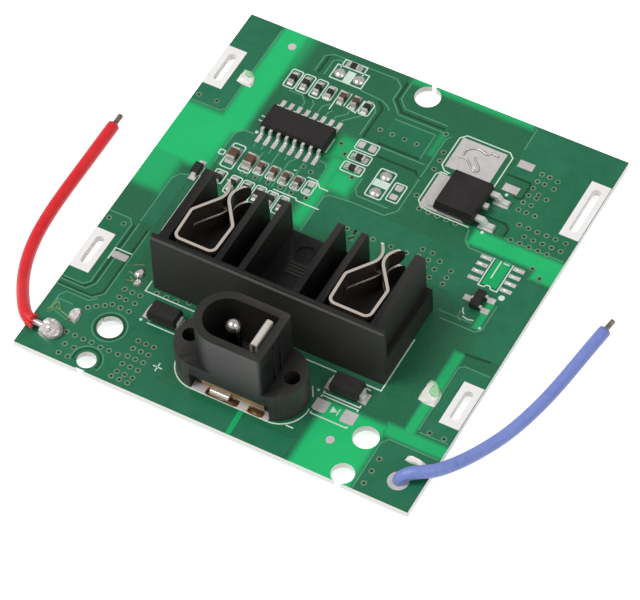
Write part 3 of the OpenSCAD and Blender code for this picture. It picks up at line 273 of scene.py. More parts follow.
# Block plastic: sharp edges painted lighter as a painted edge highlight
BLOCK = plain("block_plastic", rgb(15, 15, 15), rgb(24, 24, 23), (0.4, 0.55), 1600,
              (0.25, 3e-5), speck=(rgb(104, 101, 96), 2600, 0.42), edge=(rgb(74, 71, 68), 0.6),
              Specular_IOR_Level=0.28)
# Jack plastic: sharp edges painted lighter as a painted edge highlight
JACK = plain("jack_plastic", rgb(24, 24, 24), rgb(33, 33, 32), (0.32, 0.46), 1900,
             (0.25, 3e-5), speck=(rgb(108, 106, 100), 2800, 0.42), edge=(rgb(74, 71, 68), 0.6),
             Specular_IOR_Level=0.36)
# Clip steel: sides kept dark as painted shade, faces that look up near-white as a painted highlight
CLIP = plain("clip_steel", rgb(98, 88, 80), rgb(118, 107, 98), (0.2, 0.34), 500,
             (0.12, 2e-5), 0.75, (1, 1, 8), cap=rgb(250, 236, 224))
BASE = plain("phenolic", rgb(186, 150, 104), rgb(206, 174, 128), (0.5, 0.65), 1800, (0.3, 3e-5),
             stretch=(0.2, 1, 3))
CONTACT = plain("contact_metal", rgb(222, 212, 198), rgb(244, 238, 228), (0.18, 0.32), 700,
                (0.25, 3e-5), 0.45, (6, 0.3, 1))
# Pin metal: dark up to 12.9 mm, full colour from 13.9 mm, painted shade down inside the socket
PIN = plain("pin_metal", rgb(226, 222, 214), rgb(244, 241, 236), (0.1, 0.18), 900,
            (0.1, 2e-5), 0.9, shade_below=(12.9, 13.9, rgb(24, 20, 18)))
RESIN = plain("chip_resin", rgb(34, 31, 31), rgb(45, 42, 41), (0.45, 0.6), 2600, (0.3, 3e-5),
              speck=(rgb(86, 80, 78), 5200, 0.3), Specular_IOR_Level=0.36)
CERAMIC = plain("capacitor_ceramic", rgb(84, 60, 46), rgb(112, 82, 62), (0.4, 0.5), 3500,
                (0.2, 2e-5))
GLAZE = plain("resistor_glaze", rgb(36, 32, 32), rgb(52, 46, 46), (0.3, 0.45), 3000, (0.2, 2e-5))
RED = plain("red_rubber", rgb(224, 24, 34), rgb(240, 42, 50), (0.38, 0.5), 1400, (0.25, 3e-5),
            speck=(rgb(236, 120, 122), 4200, 0.25), Sheen_Weight=0.2, Sheen_Roughness=0.4)
BLUE = plain("blue_rubber", rgb(120, 138, 212), rgb(138, 156, 224), (0.38, 0.5), 1400, (0.25, 3e-5),
             speck=(rgb(160, 180, 226), 4200, 0.25), Sheen_Weight=0.2, Sheen_Roughness=0.4)
# Dark olive discs over the via holes: painted shade of the holes' insides
HOLE = plain("via_hole_shade", rgb(26, 34, 20), rgb(52, 58, 36), (0.4, 0.5), 2000, (0.1, 1e-5))
FLUX = plain("flux_residue", rgb(74, 46, 24), rgb(136, 96, 52), (0.16, 0.3), 1800, (0.5, 6e-5))
HAZE = plain("flux_haze", rgb(84, 138, 84), rgb(150, 172, 118), (0.2, 0.4), 2200, (0.5, 6e-5))

# The finish of each material slot, and the nodes that differ from their slot
SLOTS = {"laminate": MASK, "tin": TIN, "block_plastic": BLOCK, "clip_steel": CLIP,
         "jack_plastic": JACK, "phenolic": BASE, "contact_metal": CONTACT, "chip_resin": RESIN,
         "capacitor_ceramic": CERAMIC, "resistor_glaze": GLAZE, "red_rubber": RED,
         "blue_rubber": BLUE}
OWN = {"controller_leads": LEAD, "transistor_tab": TIN, "transistor_leads": LEAD,
       "left_diode_terminals": LEAD, "right_diode_terminals": LEAD,
       "small_transistor_leads": LEAD, "side_diode_terminals": LEAD, "chip_terminals": CAPS,
       "slot_lands": SLOT_LAND, "jack_pin": PIN,
       "thermistor_joints": SOLDER, "solder_bridges": SOLDER, "red_joint": SOLDER,
       "blue_joint": TIN, "underside_joints": SOLDER, "red_strand": STRAND, "blue_strand": STRAND}
SLOT_OF = {subpart["node"]: subpart["material_slot"] for subpart in frame["record"]["subparts"]}
for node, ob in NODES.items():
    ob.data.materials.clear()
    ob.data.materials.append(OWN.get(node) or SLOTS[SLOT_OF[node]])


# ---------------------------------------------------------------- building helpers
def piece(name, points, faces, material, smooth=False):
    """A new mesh piece that rides on the board. Points are in mm."""
    mesh = bpy.data.meshes.new(name)
    mesh.from_pydata([Vector(v) * MM for v in points], [], faces)
    mesh.validate()
    mesh.update()
    if smooth:
        mesh.polygons.foreach_set("use_smooth", [True] * len(mesh.polygons))
    mesh.materials.append(material)
    ob = bpy.data.objects.new(name, mesh)
    SCENE.collection.objects.link(ob)
    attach(ob, "root")
    return ob


class Shape:
    """Collects points and faces for one piece."""

    def __init__(self):
        self.points = []
        self.faces = []

    def prism(self, loops, z0, z1):
        """A flat plate between z0 and z1 with an outer loop and holes."""
        flat = [[Vector((p[0], p[1], 0)) for p in loop] for loop in loops]
        tris = geometry.tessellate_polygon(flat)
        pts = [p for loop in flat for p in loop]
        n, base = len(pts), len(self.points)
        self.points += [(p.x, p.y, z1) for p in pts] + [(p.x, p.y, z0) for p in pts]
        for t in tris:
            a, c, d = (pts[i] for i in t)
            up = (c - a).cross(d - a).z > 0
            t = t if up else t[::-1]
            self.faces.append([base + i for i in t])
        k = 0
        for loop in flat:
            m = len(loop)
            for i in range(m):
                i0, i1 = base + k + i, base + k + (i + 1) % m
                self.faces.append((i0, i0 + n, i1 + n, i1))
            k += m

    def stroke(self, pts, width, z0, z1):
        """A thin strip along a line of points. A line that ends where it starts is closed."""
        closed = pts[0] == pts[-1] and len(pts) > 2
        p = [Vector((x, y)) for x, y in (pts[:-1] if closed else pts)]
        n = len(p)
        left, right = [], []
        for i in range(n):
            a = p[i - 1] if (i or closed) else None
            c = p[(i + 1) % n] if (i < n - 1 or closed) else None
            d0 = (p[i] - a).normalized() if a is not None else None
            d1 = (c - p[i]).normalized() if c is not None else None
            d0, d1 = d0 or d1, d1 or d0
            n0, n1 = Vector((-d0.y, d0.x)), Vector((-d1.y, d1.x))
            m = (n0 + n1).normalized()
            m *= width / 2 / max(0.35, m.dot(n1))
            left.append(p[i] + m)
            right.append(p[i] - m)
        base = len(self.points)
        for a, c in zip(left, right):
            self.points += [(a.x, a.y, z0), (a.x, a.y, z1), (c.x, c.y, z1), (c.x, c.y, z0)]
        for i in range(n if closed else n - 1):
            a, c = base + 4 * i, base + 4 * ((i + 1) % n)
            for k in range(3):
                self.faces.append((a + k, c + k, c + k + 1, a + k + 1))
        if not closed:
            end = base + 4 * n - 1
            self.faces += [(base, base + 1, base + 2, base + 3), (end, end - 1, end - 2, end - 3)]

    def ring(self, x, y, r0, r1, z0, z1, sides=20):
        """A flat washer, or a disc where the inner radius is 0."""
        outer = circle(x, y, r1, sides)
        loops = [outer] if r0 <= 0 else [outer, circle(x, y, r0, sides)[::-1]]
        self.prism(loops, z0, z1)

    def blob(self, x, y, z, rx, ry, height, seed, rough, rings, sides, power):
        """A rounded heap of solder, uneven by a share of its size. A higher power gives it a
        flatter top."""
        base = len(self.points)
        for i in range(rings):
            a = i / (rings - 1) * math.pi / 2
            r, up = math.cos(a) ** (2 / power), math.sin(a) ** (2 / power)
            for k in range(sides):
                t = 2 * math.pi * k / sides
                cos, sin = math.cos(t), math.sin(t)
                wide = 1 + rough * noise.noise(Vector((cos * 1.3 + seed * 7.1, sin * 1.3, a)))
                high = 1 + rough * noise.noise(Vector((seed * 3.3, cos * 1.7, sin * 1.7 + a)))
                self.points.append((x + rx * r * wide * cos, y + ry * r * wide * sin,
                                    z + height * up * high))
        for i in range(rings - 1):
            row = base + i * sides
            for k in range(sides):
                k1 = (k + 1) % sides
                self.faces.append((row + k, row + k1, row + sides + k1, row + sides + k))
        self.faces.append(tuple(base + (rings - 1) * sides + k for k in range(sides)))

    def done(self, name, material, slot, smooth=False):
        return piece(name, self.points, self.faces, material, smooth)


def circle(x, y, r, sides=32):
    """A round outline, counter-clockwise."""
    return [(x + r * math.cos(2 * math.pi * k / sides), y + r * math.sin(2 * math.pi * k / sides))
            for k in range(sides)]


def box(x0, y0, x1, y1):
    """A square-cornered outline, counter-clockwise."""
    return [(x0, y0), (x1, y0), (x1, y1), (x0, y1)]


def closed(pts):
    """The same points, ending where they start."""
    return list(pts) + [pts[0]]


def arc(x, y, r, a0, a1, n=12):
    """Points from one angle to another, in degrees."""
    return [(x + r * math.cos(math.radians(a0 + (a1 - a0) * k / n)),
             y + r * math.sin(math.radians(a0 + (a1 - a0) * k / n))) for k in range(n + 1)]


def round_box(x0, y0, x1, y1, r, n=3):
    """A box outline with round corners."""
    corners = ((x1 - r, y0 + r), (x1 - r, y1 - r), (x0 + r, y1 - r), (x0 + r, y0 + r))
    return [p for k, (cx, cy) in enumerate(corners) for p in arc(cx, cy, r, 90 * k - 90, 90 * k, n)]


# ---------------------------------------------------------------- the two wires
def smooth_line(pts, steps=6):
    """More points on one smooth curve through the given ones."""
    p = [Vector(q) for q in pts]
    p = [2 * p[0] - p[1]] + p + [2 * p[-1] - p[-2]]
    out = []
    for i in range(1, len(p) - 2):
        for s in range(steps):
            t = s / steps
            a, b, c, d = p[i - 1], p[i], p[i + 1], p[i + 2]
            out.append(0.5 * ((2 * b) + (c - a) * t + (2 * a - 5 * b + 4 * c - d) * t * t
                              + (3 * b - a - 3 * c + d) * t ** 3))
    return out + [p[-2]]


def tube(name, line, radius, material, slot, sides=28, ragged=0.0, start=None):
    """A round tube along a line, with slight unevenness and, if asked, a torn start."""
    shape = Shape()
    up = Vector((0, 0, 1))
    last = len(line) - 1
    for i, p in enumerate(line):
        d = (line[min(i + 1, last)] - line[max(i - 1, 0)]).normalized()
        if i == 0 and start:
            d = Vector(start)
        if abs(d.z) > 0.95:
            up = Vector((-1, 0.3, 0))
        side = d.cross(up).normalized()
        top = side.cross(d).normalized()
        up = top
        for k in range(sides):
            a = 2 * math.pi * k / sides
            q = side * math.cos(a) + top * math.sin(a)
            w = 1 + 0.012 * noise.noise(p * 0.8 + q)
            point = p + q * (radius * min(w, 1.0))
            if ragged and i < 3:
                torn = noise.noise(Vector((math.cos(a) * 2, math.sin(a) * 2, 5)))
                point += d * (ragged * (3 - i) / 3 * torn)
            shape.points.append(tuple(point))
    for i in range(last):
        row = i * sides
        for k in range(sides):
            k1 = (k + 1) % sides
            shape.faces.append((row + k, row + k1, row + sides + k1, row + sides + k))
    shape.faces.append(tuple(reversed(range(sides))))
    shape.faces.append(tuple(last * sides + k for k in range(sides)))
    return shape.done(name, material, slot, True)


def relaxed(line, rounds=40):
    """The same line with its small waves taken out. Both ends stay."""
    for _ in range(rounds):
        inner = [(line[i - 1] + line[i] * 2 + line[i + 1]) / 4 for i in range(2, len(line) - 2)]
        line = line[:2] + inner + line[-2:]
    return line


RED_ROUTE = [(-28.8, -28.75, 3.15), (-29.7, -28.75, 3.15), (-30.9, -27.6, 3.1), (-32.3, -25.7, 2.4),
             (-33.9, -23.4, 1.6), (-35.3, -20.8, 1.1), (-36.5, -17.6, 0.9), (-37.1, -14.2, 0.9),
             (-37.35, -11.4, 0.9), (-37.5, -8.4, 0.9), (-37.5, -5.4, 0.9), (-37.5, -2.4, 0.9),
             (-37.5, 0.6, 0.9), (-37.5, 3.6, 0.9), (-37.5, 6.6, 0.9)]
BLUE_ROUTE = [(26.5, -28.4, 2.28), (26.6, -28.3, 3.0), (27.4, -27.7, 3.8), (28.8, -27, 3.9),
              (30, -26, 3.6), (30.9, -24.7, 3.0), (32.3, -21.9, 2.0), (33.5, -18.7, 1.3),
              (34.9, -15.6, 0.9), (35.9, -12.4, 0.9), (36.8, -9, 0.9), (37.5, -5.3, 0.9),
              (38, -1.5, 0.9), (38.4, 2, 0.9), (39, 6, 0.9)]
WIRE = 1.8                                             # outer diameter, in mm
for colour, route, mat, torn, start in (("red", RED_ROUTE, RED, 0.5, (-1, 0, 0)),
                                        ("blue", BLUE_ROUTE, BLUE, 0.0, (0, 0, 1))):
    line = relaxed(smooth_line(route))
    ob = tube(colour + "_lead", line, WIRE / 2, mat, colour + "_rubber", ragged=torn, start=start)
    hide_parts(colour + "_wire")


# ---------------------------------------------------------------- board graphics
# Places on the board, in mm. Every layer starts just under the mask and ends a little above it.
SUNK = 0.005
POUR_TOP, GAP_TOP, LINE_TOP, DOT_TOP, RING_TOP, INK_TOP, LAND_TOP = (
    0.018, 0.022, 0.026, 0.03, 0.034, 0.045, 0.06)
LINE_WIDTH, GAP_WIDTH, INK_WIDTH = 0.2, 0.34, 0.18
VIA_INNER, VIA_OUTER = 0.22, 0.42
LEFT_SCREW_HOLE, LEFT_EDGE_HOLE = (-19.45, -24.4), (-19.45, -30.45)
TAB_SLOTS = [(-28.2, 21.95, 5.2), (28.2, 21.95, 8.05), (-28.2, -14.3, 5.06), (28.2, -14.3, 5.06)]
SCREW_CLEARING, EDGE_CLEARING, SLOT_CLEARING = 2.35, 1.35, 1.3     # two radii and a width without copper
# Copper under the mask
POURS = [
    [(-29.6, 32.1), (-24.4, 32.1), (-24.4, 15.4), (-25.0, 14.8), (-29.6, 14.8)],
    [(-24.9, -7.0), (-24.9, 1.6), (-24.3, 2.5), (-22.8, 2.9), (-22.8, -7.0)],
    [(-29.6, -7.4), (-26.5, -7.4), (-25.8, -8.2), (-25.8, -18.9), (-26.6, -19.7), (-29.6, -19.7)],
    [(-20.9, 6.1), (-20.9, 12.3), (-20.2, 13.1), (-7.4, 13.1), (-6.9, 12.4), (-6.9, 6.1)],
    [(-4.5, 1.4), (-4.5, 8.1), (-4.0, 8.4), (15.8, 8.4), (16.8, 9.1), (25.6, 9.1), (25.6, 7.6),
     (29.6, 7.6), (29.6, -6.2), (25.0, -6.2), (25.0, 2.4), (23.2, 2.4), (23.2, -1.7), (18.1, -1.7),
     (18.1, 1.4)],
    [(16.0, 32.1), (16.0, 22.8), (19.6, 22.8), (19.6, 19.7), (16.0, 19.7), (16.0, 15.2), (20.0, 15.2),
     (20.5, 14.7), (20.5, 12.9), (29.6, 12.9), (29.6, 32.1)],
    [(-2.6, 24.4), (3.8, 24.4), (3.8, 20.0), (-2.6, 20.0)],
    [(-22.8, -20.6), (-22.8, -8.6), (-21.6, -8.6), (-21.6, -17.2), (10.0, -17.2), (10.0, -20.6),
     (-4, -20.6), (-10, -29.0), (11.4, -29.0), (11.4, -32.1), (-29.6, -32.1), (-29.6, -22.0),
     (-24.2, -22.0)],
    [(21.8, -32.1), (21.8, -24.1), (22.4, -23.5), (29.6, -23.5), (29.6, -32.1)],
    [(25.2, -20.3), (25.2, -9.1), (25.7, -8.6), (29.6, -8.6), (29.6, -20.3)]]
# Pale edges of tracks and pours
COPPER_EDGES = [
    [(-24.4, 31.6), (-24.4, 15.5), (-25, 14.85), (-29.7, 14.85)],
    [(-16.7, 27.1), (-16.7, 30.2), (-15.6, 31.0), (-5.6, 31.0), (-4.4, 30.0), (-4.4, 27.5),
     (-2.4, 25.4), (4.8, 25.4)],
    [(-15.2, 27.1), (-15.2, 29.9), (-14.6, 30.4), (-13.7, 30.4)],
    [(-3.4, 31.2), (-3.4, 28.1), (-2.0, 26.7), (4.7, 26.7)],
    [(-9.2, 26.9), (-5.6, 26.6), (-4.4, 26.0), (-3.9, 25.4)],
    [(-6.2, 25.4), (-5.5, 24.4), (-5.5, 19.8)],
    [(-18.2, 22.4), (-16.0, 22.4), (-15.1, 21.4), (-15.1, 20.6)],
    [(-14.3, 22.3), (-13.8, 21.7), (-13.8, 20.6)], [(-11.8, 22.8), (-12.6, 21.9), (-12.6, 20.6)],
    [(-10.9, 21.9), (-11.3, 21.3), (-11.3, 20.6)], [(-8.8, 22.9), (-8.8, 22.3), (-10.0, 21.1), (-10.0, 20.6)],
    [(-6.9, 22.9), (-8.8, 21.0), (-8.8, 20.6)],
    [(-18.6, 13.3), (-20.3, 13.3), (-21.1, 12.4), (-21.1, 6.4)],
    [(-8.2, 13.3), (-7.3, 13.2), (-6.7, 12.4), (-6.7, 10.4)],
    [(-17.6, 12.0), (-17.6, 11.2)], [(-16.4, 12.0), (-16.4, 11.3)], [(-15.1, 12.0), (-15.1, 11.1)],
    [(-13.9, 12.0), (-13.9, 6.2)], [(-12.6, 12.0), (-12.6, 11.1)],
    [(-11.3, 12.0), (-11.9, 11.2), (-11.9, 6.2)],
    [(-10.0, 12.0), (-9.95, 6.2)], [(-15.9, 11.0), (-15.9, 6.2)], [(-20.4, 10.6), (-20.4, 6.3)],
    [(-24.9, -7.1), (-24.9, 1.4), (-24.2, 2.6), (-22.8, 3.0)],
    [(-1.5, 13.2), (-1.5, 11.2), (-0.7, 10.2), (4.1, 10.2)],
    [(5.5, 16.6), (5.5, 10.4), (4.2, 8.9), (-0.6, 8.9), (-4.0, 8.6), (-4.7, 8.0), (-4.7, 1.3)],
    [(15.6, 12.0), (16.0, 10.2), (17.0, 9.25), (25.4, 9.25)], [(20.5, 12.85), (29.5, 12.85)],
    [(18.2, -1.8), (23.3, -1.8)], [(18.9, -2.9), (24.2, -2.9), (24.9, -2.2), (24.9, 2.2)],
    [(15.95, 31.8), (15.95, 27.8)], [(-2.5, 24.5), (3.9, 24.5), (3.9, 19.9)], [(-2.4, 19.2), (5.0, 19.2)],
    [(6.0, 25.2), (5.5, 24.5), (5.5, 17.0)], [(-29.6, -7.3), (-26.4, -7.3), (-25.7, -8.1), (-25.7, -19.0),
     (-26.5, -19.8), (-29.6, -19.8)],
    [(-24.8, -7.5), (-24.8, -18.9), (-25.7, -20.3), (-29.6, -20.3)],
    [(-22.9, -8.0), (-22.9, -20.0), (-24.2, -21.3), (-29.6, -21.3)],
    [(-28.3, -25.6), (-28.3, -22.8), (-27.7, -21.9), (-24.3, -21.9), (-23.3, -21.0)],
    [(-25.8, -23.4), (-28.1, -23.4), (-28.1, -25.2), (-25.3, -26.0)],
    [(21.6, -32), (21.6, -24.2), (22.3, -23.3), (29.5, -23.3)],
    [(25.0, -20.2), (25.0, -9.1), (25.6, -8.5), (29.5, -8.5)], [(25.2, -20.5), (29.5, -20.5)]]
# Dark gaps between them
COPPER_GAPS = [
    [(-2.6, 19.7), (3.8, 19.7)], [(-1.6, 17.6), (4.4, 17.6), (5.0, 17.0)], [(-16.1, 30.6), (-16.1, 27.2)],
    [(-4.0, 31.2), (-3.9, 27.7), (-2.2, 26.0), (4.6, 26.0)], [(-16.0, 22.9), (-15.0, 22.3)],
    [(15.8, 22.9), (19.3, 22.9), (19.6, 22.6), (19.6, 20.2), (19.2, 19.7), (18.4, 19.7)],
    [(16.9, 15.1), (19.6, 15.1), (20.3, 14.4), (20.3, 13.1)], [(24.7, -6.7), (28.4, -6.4)],
    [(-25.25, -8.0), (-25.25, -19.0), (-26.1, -20.05), (-29.6, -20.05)],
    [(-23.2, -8.0), (-23.2, -19.9), (-24.4, -21.05), (-29.6, -21.05)],
    [(-6.0, 26.3), (-4.9, 25.4), (-4.9, 19.7)]]
# Printed outlines
INK_LINES = [
    closed(round_box(-19.45, 22.8, -17.75, 26.1, 0.3)), closed(round_box(-17.45, 22.8, -15.75, 26.1, 0.3)),
    closed(round_box(-15.35, 22.8, -13.75, 26.1, 0.3)), closed(round_box(-13.4, 23.2, -12.15, 25.7, 0.35)),
    [(-11.5, 25.8), (-11.5, 21.9)], [(-9.95, 25.8), (-9.95, 23.3)],
    [(-9.3, 25.8), (-9.5, 23.3), (-7.9, 23.0), (-7.8, 25.5)],
    closed(round_box(-7.65, 23.1, -6.1, 25.5, 0.4)),
    [(-13.7, 29.3), (-13.7, 30.9), (-10.2, 30.9), (-10.2, 29.3)],
    closed(box(-14.3, 27.1, -9.3, 29.7)), [(-8.2, 14.8), (-8.2, 17.6)], [(-19.3, 16.65), (-18.6, 16.65)],
    [(-19.3, 15.8), (-18.6, 15.8)], closed(round_box(-5.1, 17.4, -1.9, 19.2, 0.3)),
    closed(round_box(-5.1, 15.35, -1.9, 17.0, 0.3)), closed(round_box(-5.1, 13.2, -1.9, 14.9, 0.3)),
    closed(round_box(0.0, 10.9, 2.45, 16.0, 0.3)), closed(round_box(3.0, 11.4, 4.75, 14.7, 0.25)),
    [(8.8, 19.4), (7.9, 19.5), (7.1, 20.3), (7.1, 25.6), (7.9, 26.4), (14.5, 26.4), (15.25, 25.7),
     (15.25, 19.6)],
    [(8.6, 19.1), (7.6, 19.1), (7.1, 18.5), (7.1, 13.4), (8.0, 12.5), (9.5, 12.3), (15.4, 12.3)],
    [(22.75, 4.3), (23.75, 4.3), (23.75, 9.3)], [(20.95, 9.3), (20.95, 4.3), (21.85, 4.3)],
    arc(22.3, 4.3, 0.45, 0, 180, 8), [(22.4, 9.0), (23.3, 9.0)], [(22.0, 9.2), (22.0, 6.0)],
    [(21.0, 0.0), (21.2, -0.6), (21.6, -0.95)], [(21.5, -1.3), (22.4, -1.5), (23.2, -1.3)],
    closed(round_box(-20.2, 6.35, -18.35, 10.75, 0.3)), closed(round_box(-17.6, 6.8, -15.85, 10.0, 0.3)),
    [(-21.5, 3.6), (-21.5, -7.2)], [(-11.5, 6.0), (-7.9, 6.0), (-7.7, 5.7), (-4.2, 5.7)],
    [(-10.6, 10.2), (-10.2, 10.3)], [(-8.3, 10.0), (-6.8, 10.0), (-5.9, 9.1), (-4.6, 9.1)],
    closed(round_box(-20.1, 3.5, -18.4, 5.7, 0.2)), closed(round_box(-17.6, 2.5, -16.0, 5.7, 0.3)),
    closed(round_box(-15.7, 2.5, -14.1, 5.7, 0.3)), closed(round_box(-13.75, 2.5, -12.2, 5.7, 0.3)),
    closed(round_box(-11.9, 2.5, -10.3, 5.6, 0.3)), closed(round_box(-10.0, 2.4, -8.6, 5.6, 0.3)),
    [(-15.95, -18.9), (-15.95, -20.7), (-15.0, -21.0)], [(-15.4, -21.5), (-11.2, -21.5)],
    [(-11.1, -18.8), (-11.3, -19.6)], [(-18.3, -15.2), (-18.3, -17.0), (-10.5, -17.0)],
    [(5.9, -17.0), (11.0, -17.0)], [(15.3, -17.0), (17.7, -17.0), (17.7, -7.6)],
    [(11.1, -20.3), (11.1, -20.65), (16.5, -20.65), (16.5, -20.3)],
    [(11.1, -21.4), (11.1, -21.1), (16.5, -21.1), (16.5, -21.4)],
    [(11.1, -24.0), (11.1, -24.3), (16.5, -24.3), (16.5, -24.0)], [(9.3, -20.4), (10.2, -21.9)],
    [(15.8, -17.5), (16.5, -17.6)],
    [(14.35, -23.15), (14.35, -22.05)],
    arc(-4.9, -24.0, 4.1, 196, 270, 14), [(-4.9, -28.1), (6.9, -28.1)], arc(6.7, -24.1, 4.0, -88, 4, 14),
    [(-11.15, -27.15), (-9.75, -27.15)], [(-10.45, -26.45), (-10.45, -27.85)], [(9.2, -27.5), (10.3, -27.5)],
    [(-25.6, -14.6), (-25.6, -12.55), (-23.0, -12.55)], closed(box(-22.8, 4.9, -21.7, 3.4)),
    closed(round_box(-21.4, 8.1, -20.6, 8.9, 0.15)),
    *(closed(round_box(x - 0.72, 7.2, x + 0.72, 9.6, 0.35)) for x in (-14.8, -12.85, -10.9, -9.0, -7.2))]
INK_SHAPES = [box(-12.35, 27.2, -11.15, 29.3), box(0.15, 12.9, 2.35, 14.1),
              [(13.3, -23.15), (14.2, -22.6), (13.3, -22.05)]]
INK_DOTS = [(-18.45, 13.75, 0.25), (17.4, 19.6, 0.25), (17.4, 12.35, 0.25), (24.8, 3.7, 0.45),
            (24.5, -2.05, 0.2), (-16.4, -21.4, 0.22), (10.3, -20.6, 0.2)]
# First via, how many each way and the two steps. The solids hold a hole at each of these.
VIA_GRIDS = [
    (21.3, 15.8, 5, 1, 1.37, 1), (22.8, 14.3, 4, 1, 1.37, 1), (21.4, 13.0, 5, 1, 1.37, 1),
    (26.25, 9.98, 1, 1, 1, 1), (27.85, 8.9, 1, 1, 1, 1), (16.7, 2.2, 1, 3, 1, 1.2),
    (6.5, 19.1, 1, 2, 1, 1.7), (6.5, 14.0, 1, 1, 1, 1), (7.9, 12.1, 5, 1, 1.4, 1),
    (14.6, 2.4, 1, 3, 1, 1.5), (11.6, 3.6, 2, 3, 1.5, 1.3), (0.8, 3.4, 2, 2, 1.3, 1.2),
    (-3.4, 21.9, 4, 1, 1.9, 1), (-7.05, 17.3, 1, 1, 1, 1), (-2.85, 12.7, 1, 1, 1, 1),
    (-16.7, -16.7, 3, 1, 1.5, 1), (-29.05, -8.5, 2, 1, 2.3, 1), (-21.1, -21, 3, 1, 1.3, 1),
    (-14.9, -24.6, 3, 5, 1.2, -1.4), (-24.2, -27.7, 4, 1, 1.3, -1), (-23.4, -29.5, 2, 2, 1.4, -1.6),
    (22.6, -26.6, 1, 3, 1, -2.1), (26.5, -20, 2, 1, 2.1, 1)]
HIDDEN_VIAS = [(-21.1 + 1.3 * i, -22.3) for i in range(3)]     # the solids' holes that copper covers here
MORE_VIAS = [
    (-20.9, -18.05), (-19.7, -18.05), (-18.45, -18.05), (-20.9, -19.5), (-19.85, -19.5), (-18.45, -19.5),
    (-15.2, -31.2), (-13.95, -31.2), (-12.7, -31.2), (-16.2, -27.75), (-18.85, -27.85), (-17.55, -27.8),
    (-23.75, -22.95), (-22.85, -22.25), (-21.87, -21.6), (20.1, 25.0), (21.3, 25.0), (22.6, 24.8),
    (20.1, 23.6), (21.2, 23.6), (22.7, 23.4), (20.1, 22.3), (21.3, 21.6), (20.1, 20.9), (21.3, 20.9),
    (22.6, 21.3), (20.0, 19.5), (21.2, 19.5), (20.0, 18.1), (21.2, 18.1), (22.5, 18.1), (28.3, 15.8),
    (28.3, 14.3), (6.3, 22.3), (5.1, 25.3), (-5.7, 15.9), (-9.7, 11.35), (-8.35, 10.95), (-29.0, 16.0),
    (-26.2, 16.1), (-12.0, -16.1), (7.6, 4.6), (9.9, 4.6), (4.8, 4.6), (2.0, 4.6), (2.0, 3.5),
    (-16.7, 6.7), (-14.7, 6.6), (-12.7, 6.7), (-10.8, 6.7), (-9.0, 6.6), (-6.7, 6.7)]
# Centre and size of small lands that only the scene has
PADS = [
    (-24.3, -13.55, 2.3, 1.1), (-12.78, 25.1, 0.7, 0.7), (-12.78, 23.9, 0.7, 0.7), (-4.45, 18.3, 0.9, 1.0),
    (-2.6, 18.3, 0.9, 1.0), (-6.9, 24.9, 0.8, 0.8), (-7.2, 9.0, 0.75, 0.75), (-7.2, 7.8, 0.75, 0.75),
    (11.8, -22.7, 1.6, 1.9), (16.0, -22.7, 1.9, 2.0), (3.85, 14.0, 1.1, 0.9), (3.85, 12.3, 1.1, 0.9)]


def keep_clear(loop):
    """Round holes and slots that fall inside a pour's outline, as holes in it."""
    def inside(x, y):
        hit = False
        for (ax, ay), (bx, by) in zip(loop, loop[1:] + loop[:1]):
            if (ay > y) != (by > y) and x < (bx - ax) * (y - ay) / (by - ay) + ax:
                hit = not hit
        return hit
    cuts = []
    for (x, y), r in ((LEFT_SCREW_HOLE, SCREW_CLEARING), (LEFT_EDGE_HOLE, EDGE_CLEARING)):
        if inside(x, y):
            cuts.append(circle(x, y, r))
    for x, y, length in TAB_SLOTS:
        if inside(x, y):
            cuts.append(box(x - SLOT_CLEARING / 2, y - length / 2, x + SLOT_CLEARING / 2, y + length / 2))
    return cuts


def layer(height):
    """Lower and upper height of a thin layer on the board."""
    return TOP - SUNK, TOP + height


def via(x, y):
    """A plated hole as it shows from above: a pale ring, and over the hole a dark disc that is painted shade
    for its dark inside.
    """
    vias.ring(x, y, VIA_INNER, VIA_OUTER, *layer(RING_TOP))
    dots.ring(x, y, 0, VIA_INNER + 0.01, *layer(DOT_TOP), sides=14)


pours, lines, dark, white, vias, dots, lands = (Shape() for _ in range(7))
for loop in POURS:
    pours.prism([loop] + keep_clear(loop), *layer(POUR_TOP))
for x, y in HIDDEN_VIAS:
    pours.ring(x, y, 0, 0.26, *layer(POUR_TOP + 0.002), sides=14)
for pts in COPPER_EDGES:
    lines.stroke(pts, LINE_WIDTH, *layer(LINE_TOP))
for pts in COPPER_GAPS:
    dark.stroke(pts, GAP_WIDTH, *layer(GAP_TOP))
for pts in INK_LINES:
    white.stroke(pts, INK_WIDTH, *layer(INK_TOP))
for outline in INK_SHAPES:
    white.prism([outline], *layer(INK_TOP))
for x, y, r in INK_DOTS:
    white.ring(x, y, 0, r, *layer(INK_TOP))
for x0, y0, nx, ny, dx, dy in VIA_GRIDS:
    for i in range(nx * ny):
        via(x0 + i // ny * dx, y0 + i % ny * dy)
for x, y in MORE_VIAS:
    via(x, y)
for x, y, w, h in PADS:
    lands.prism([round_box(x - w / 2, y - h / 2, x + w / 2, y + h / 2, 0.15)], *layer(LAND_TOP))

# Each left hole has a dark rim, and a pale line round that. The edge hole's lines stop at the edge.
lines.stroke(closed(arc(*LEFT_SCREW_HOLE, 2.42, 0, 348, 29)), 0.16, *layer(LINE_TOP))
lines.stroke(arc(*LEFT_EDGE_HOLE, 2.25, -25, 205, 24), 0.16, *layer(LINE_TOP))
dark.stroke(closed(arc(*LEFT_SCREW_HOLE, 2.0, 0, 348, 29)), 0.3, *layer(GAP_TOP + 0.002))
dark.stroke(arc(*LEFT_EDGE_HOLE, 1.87, -20, 200, 24), 0.3, *layer(GAP_TOP + 0.002))

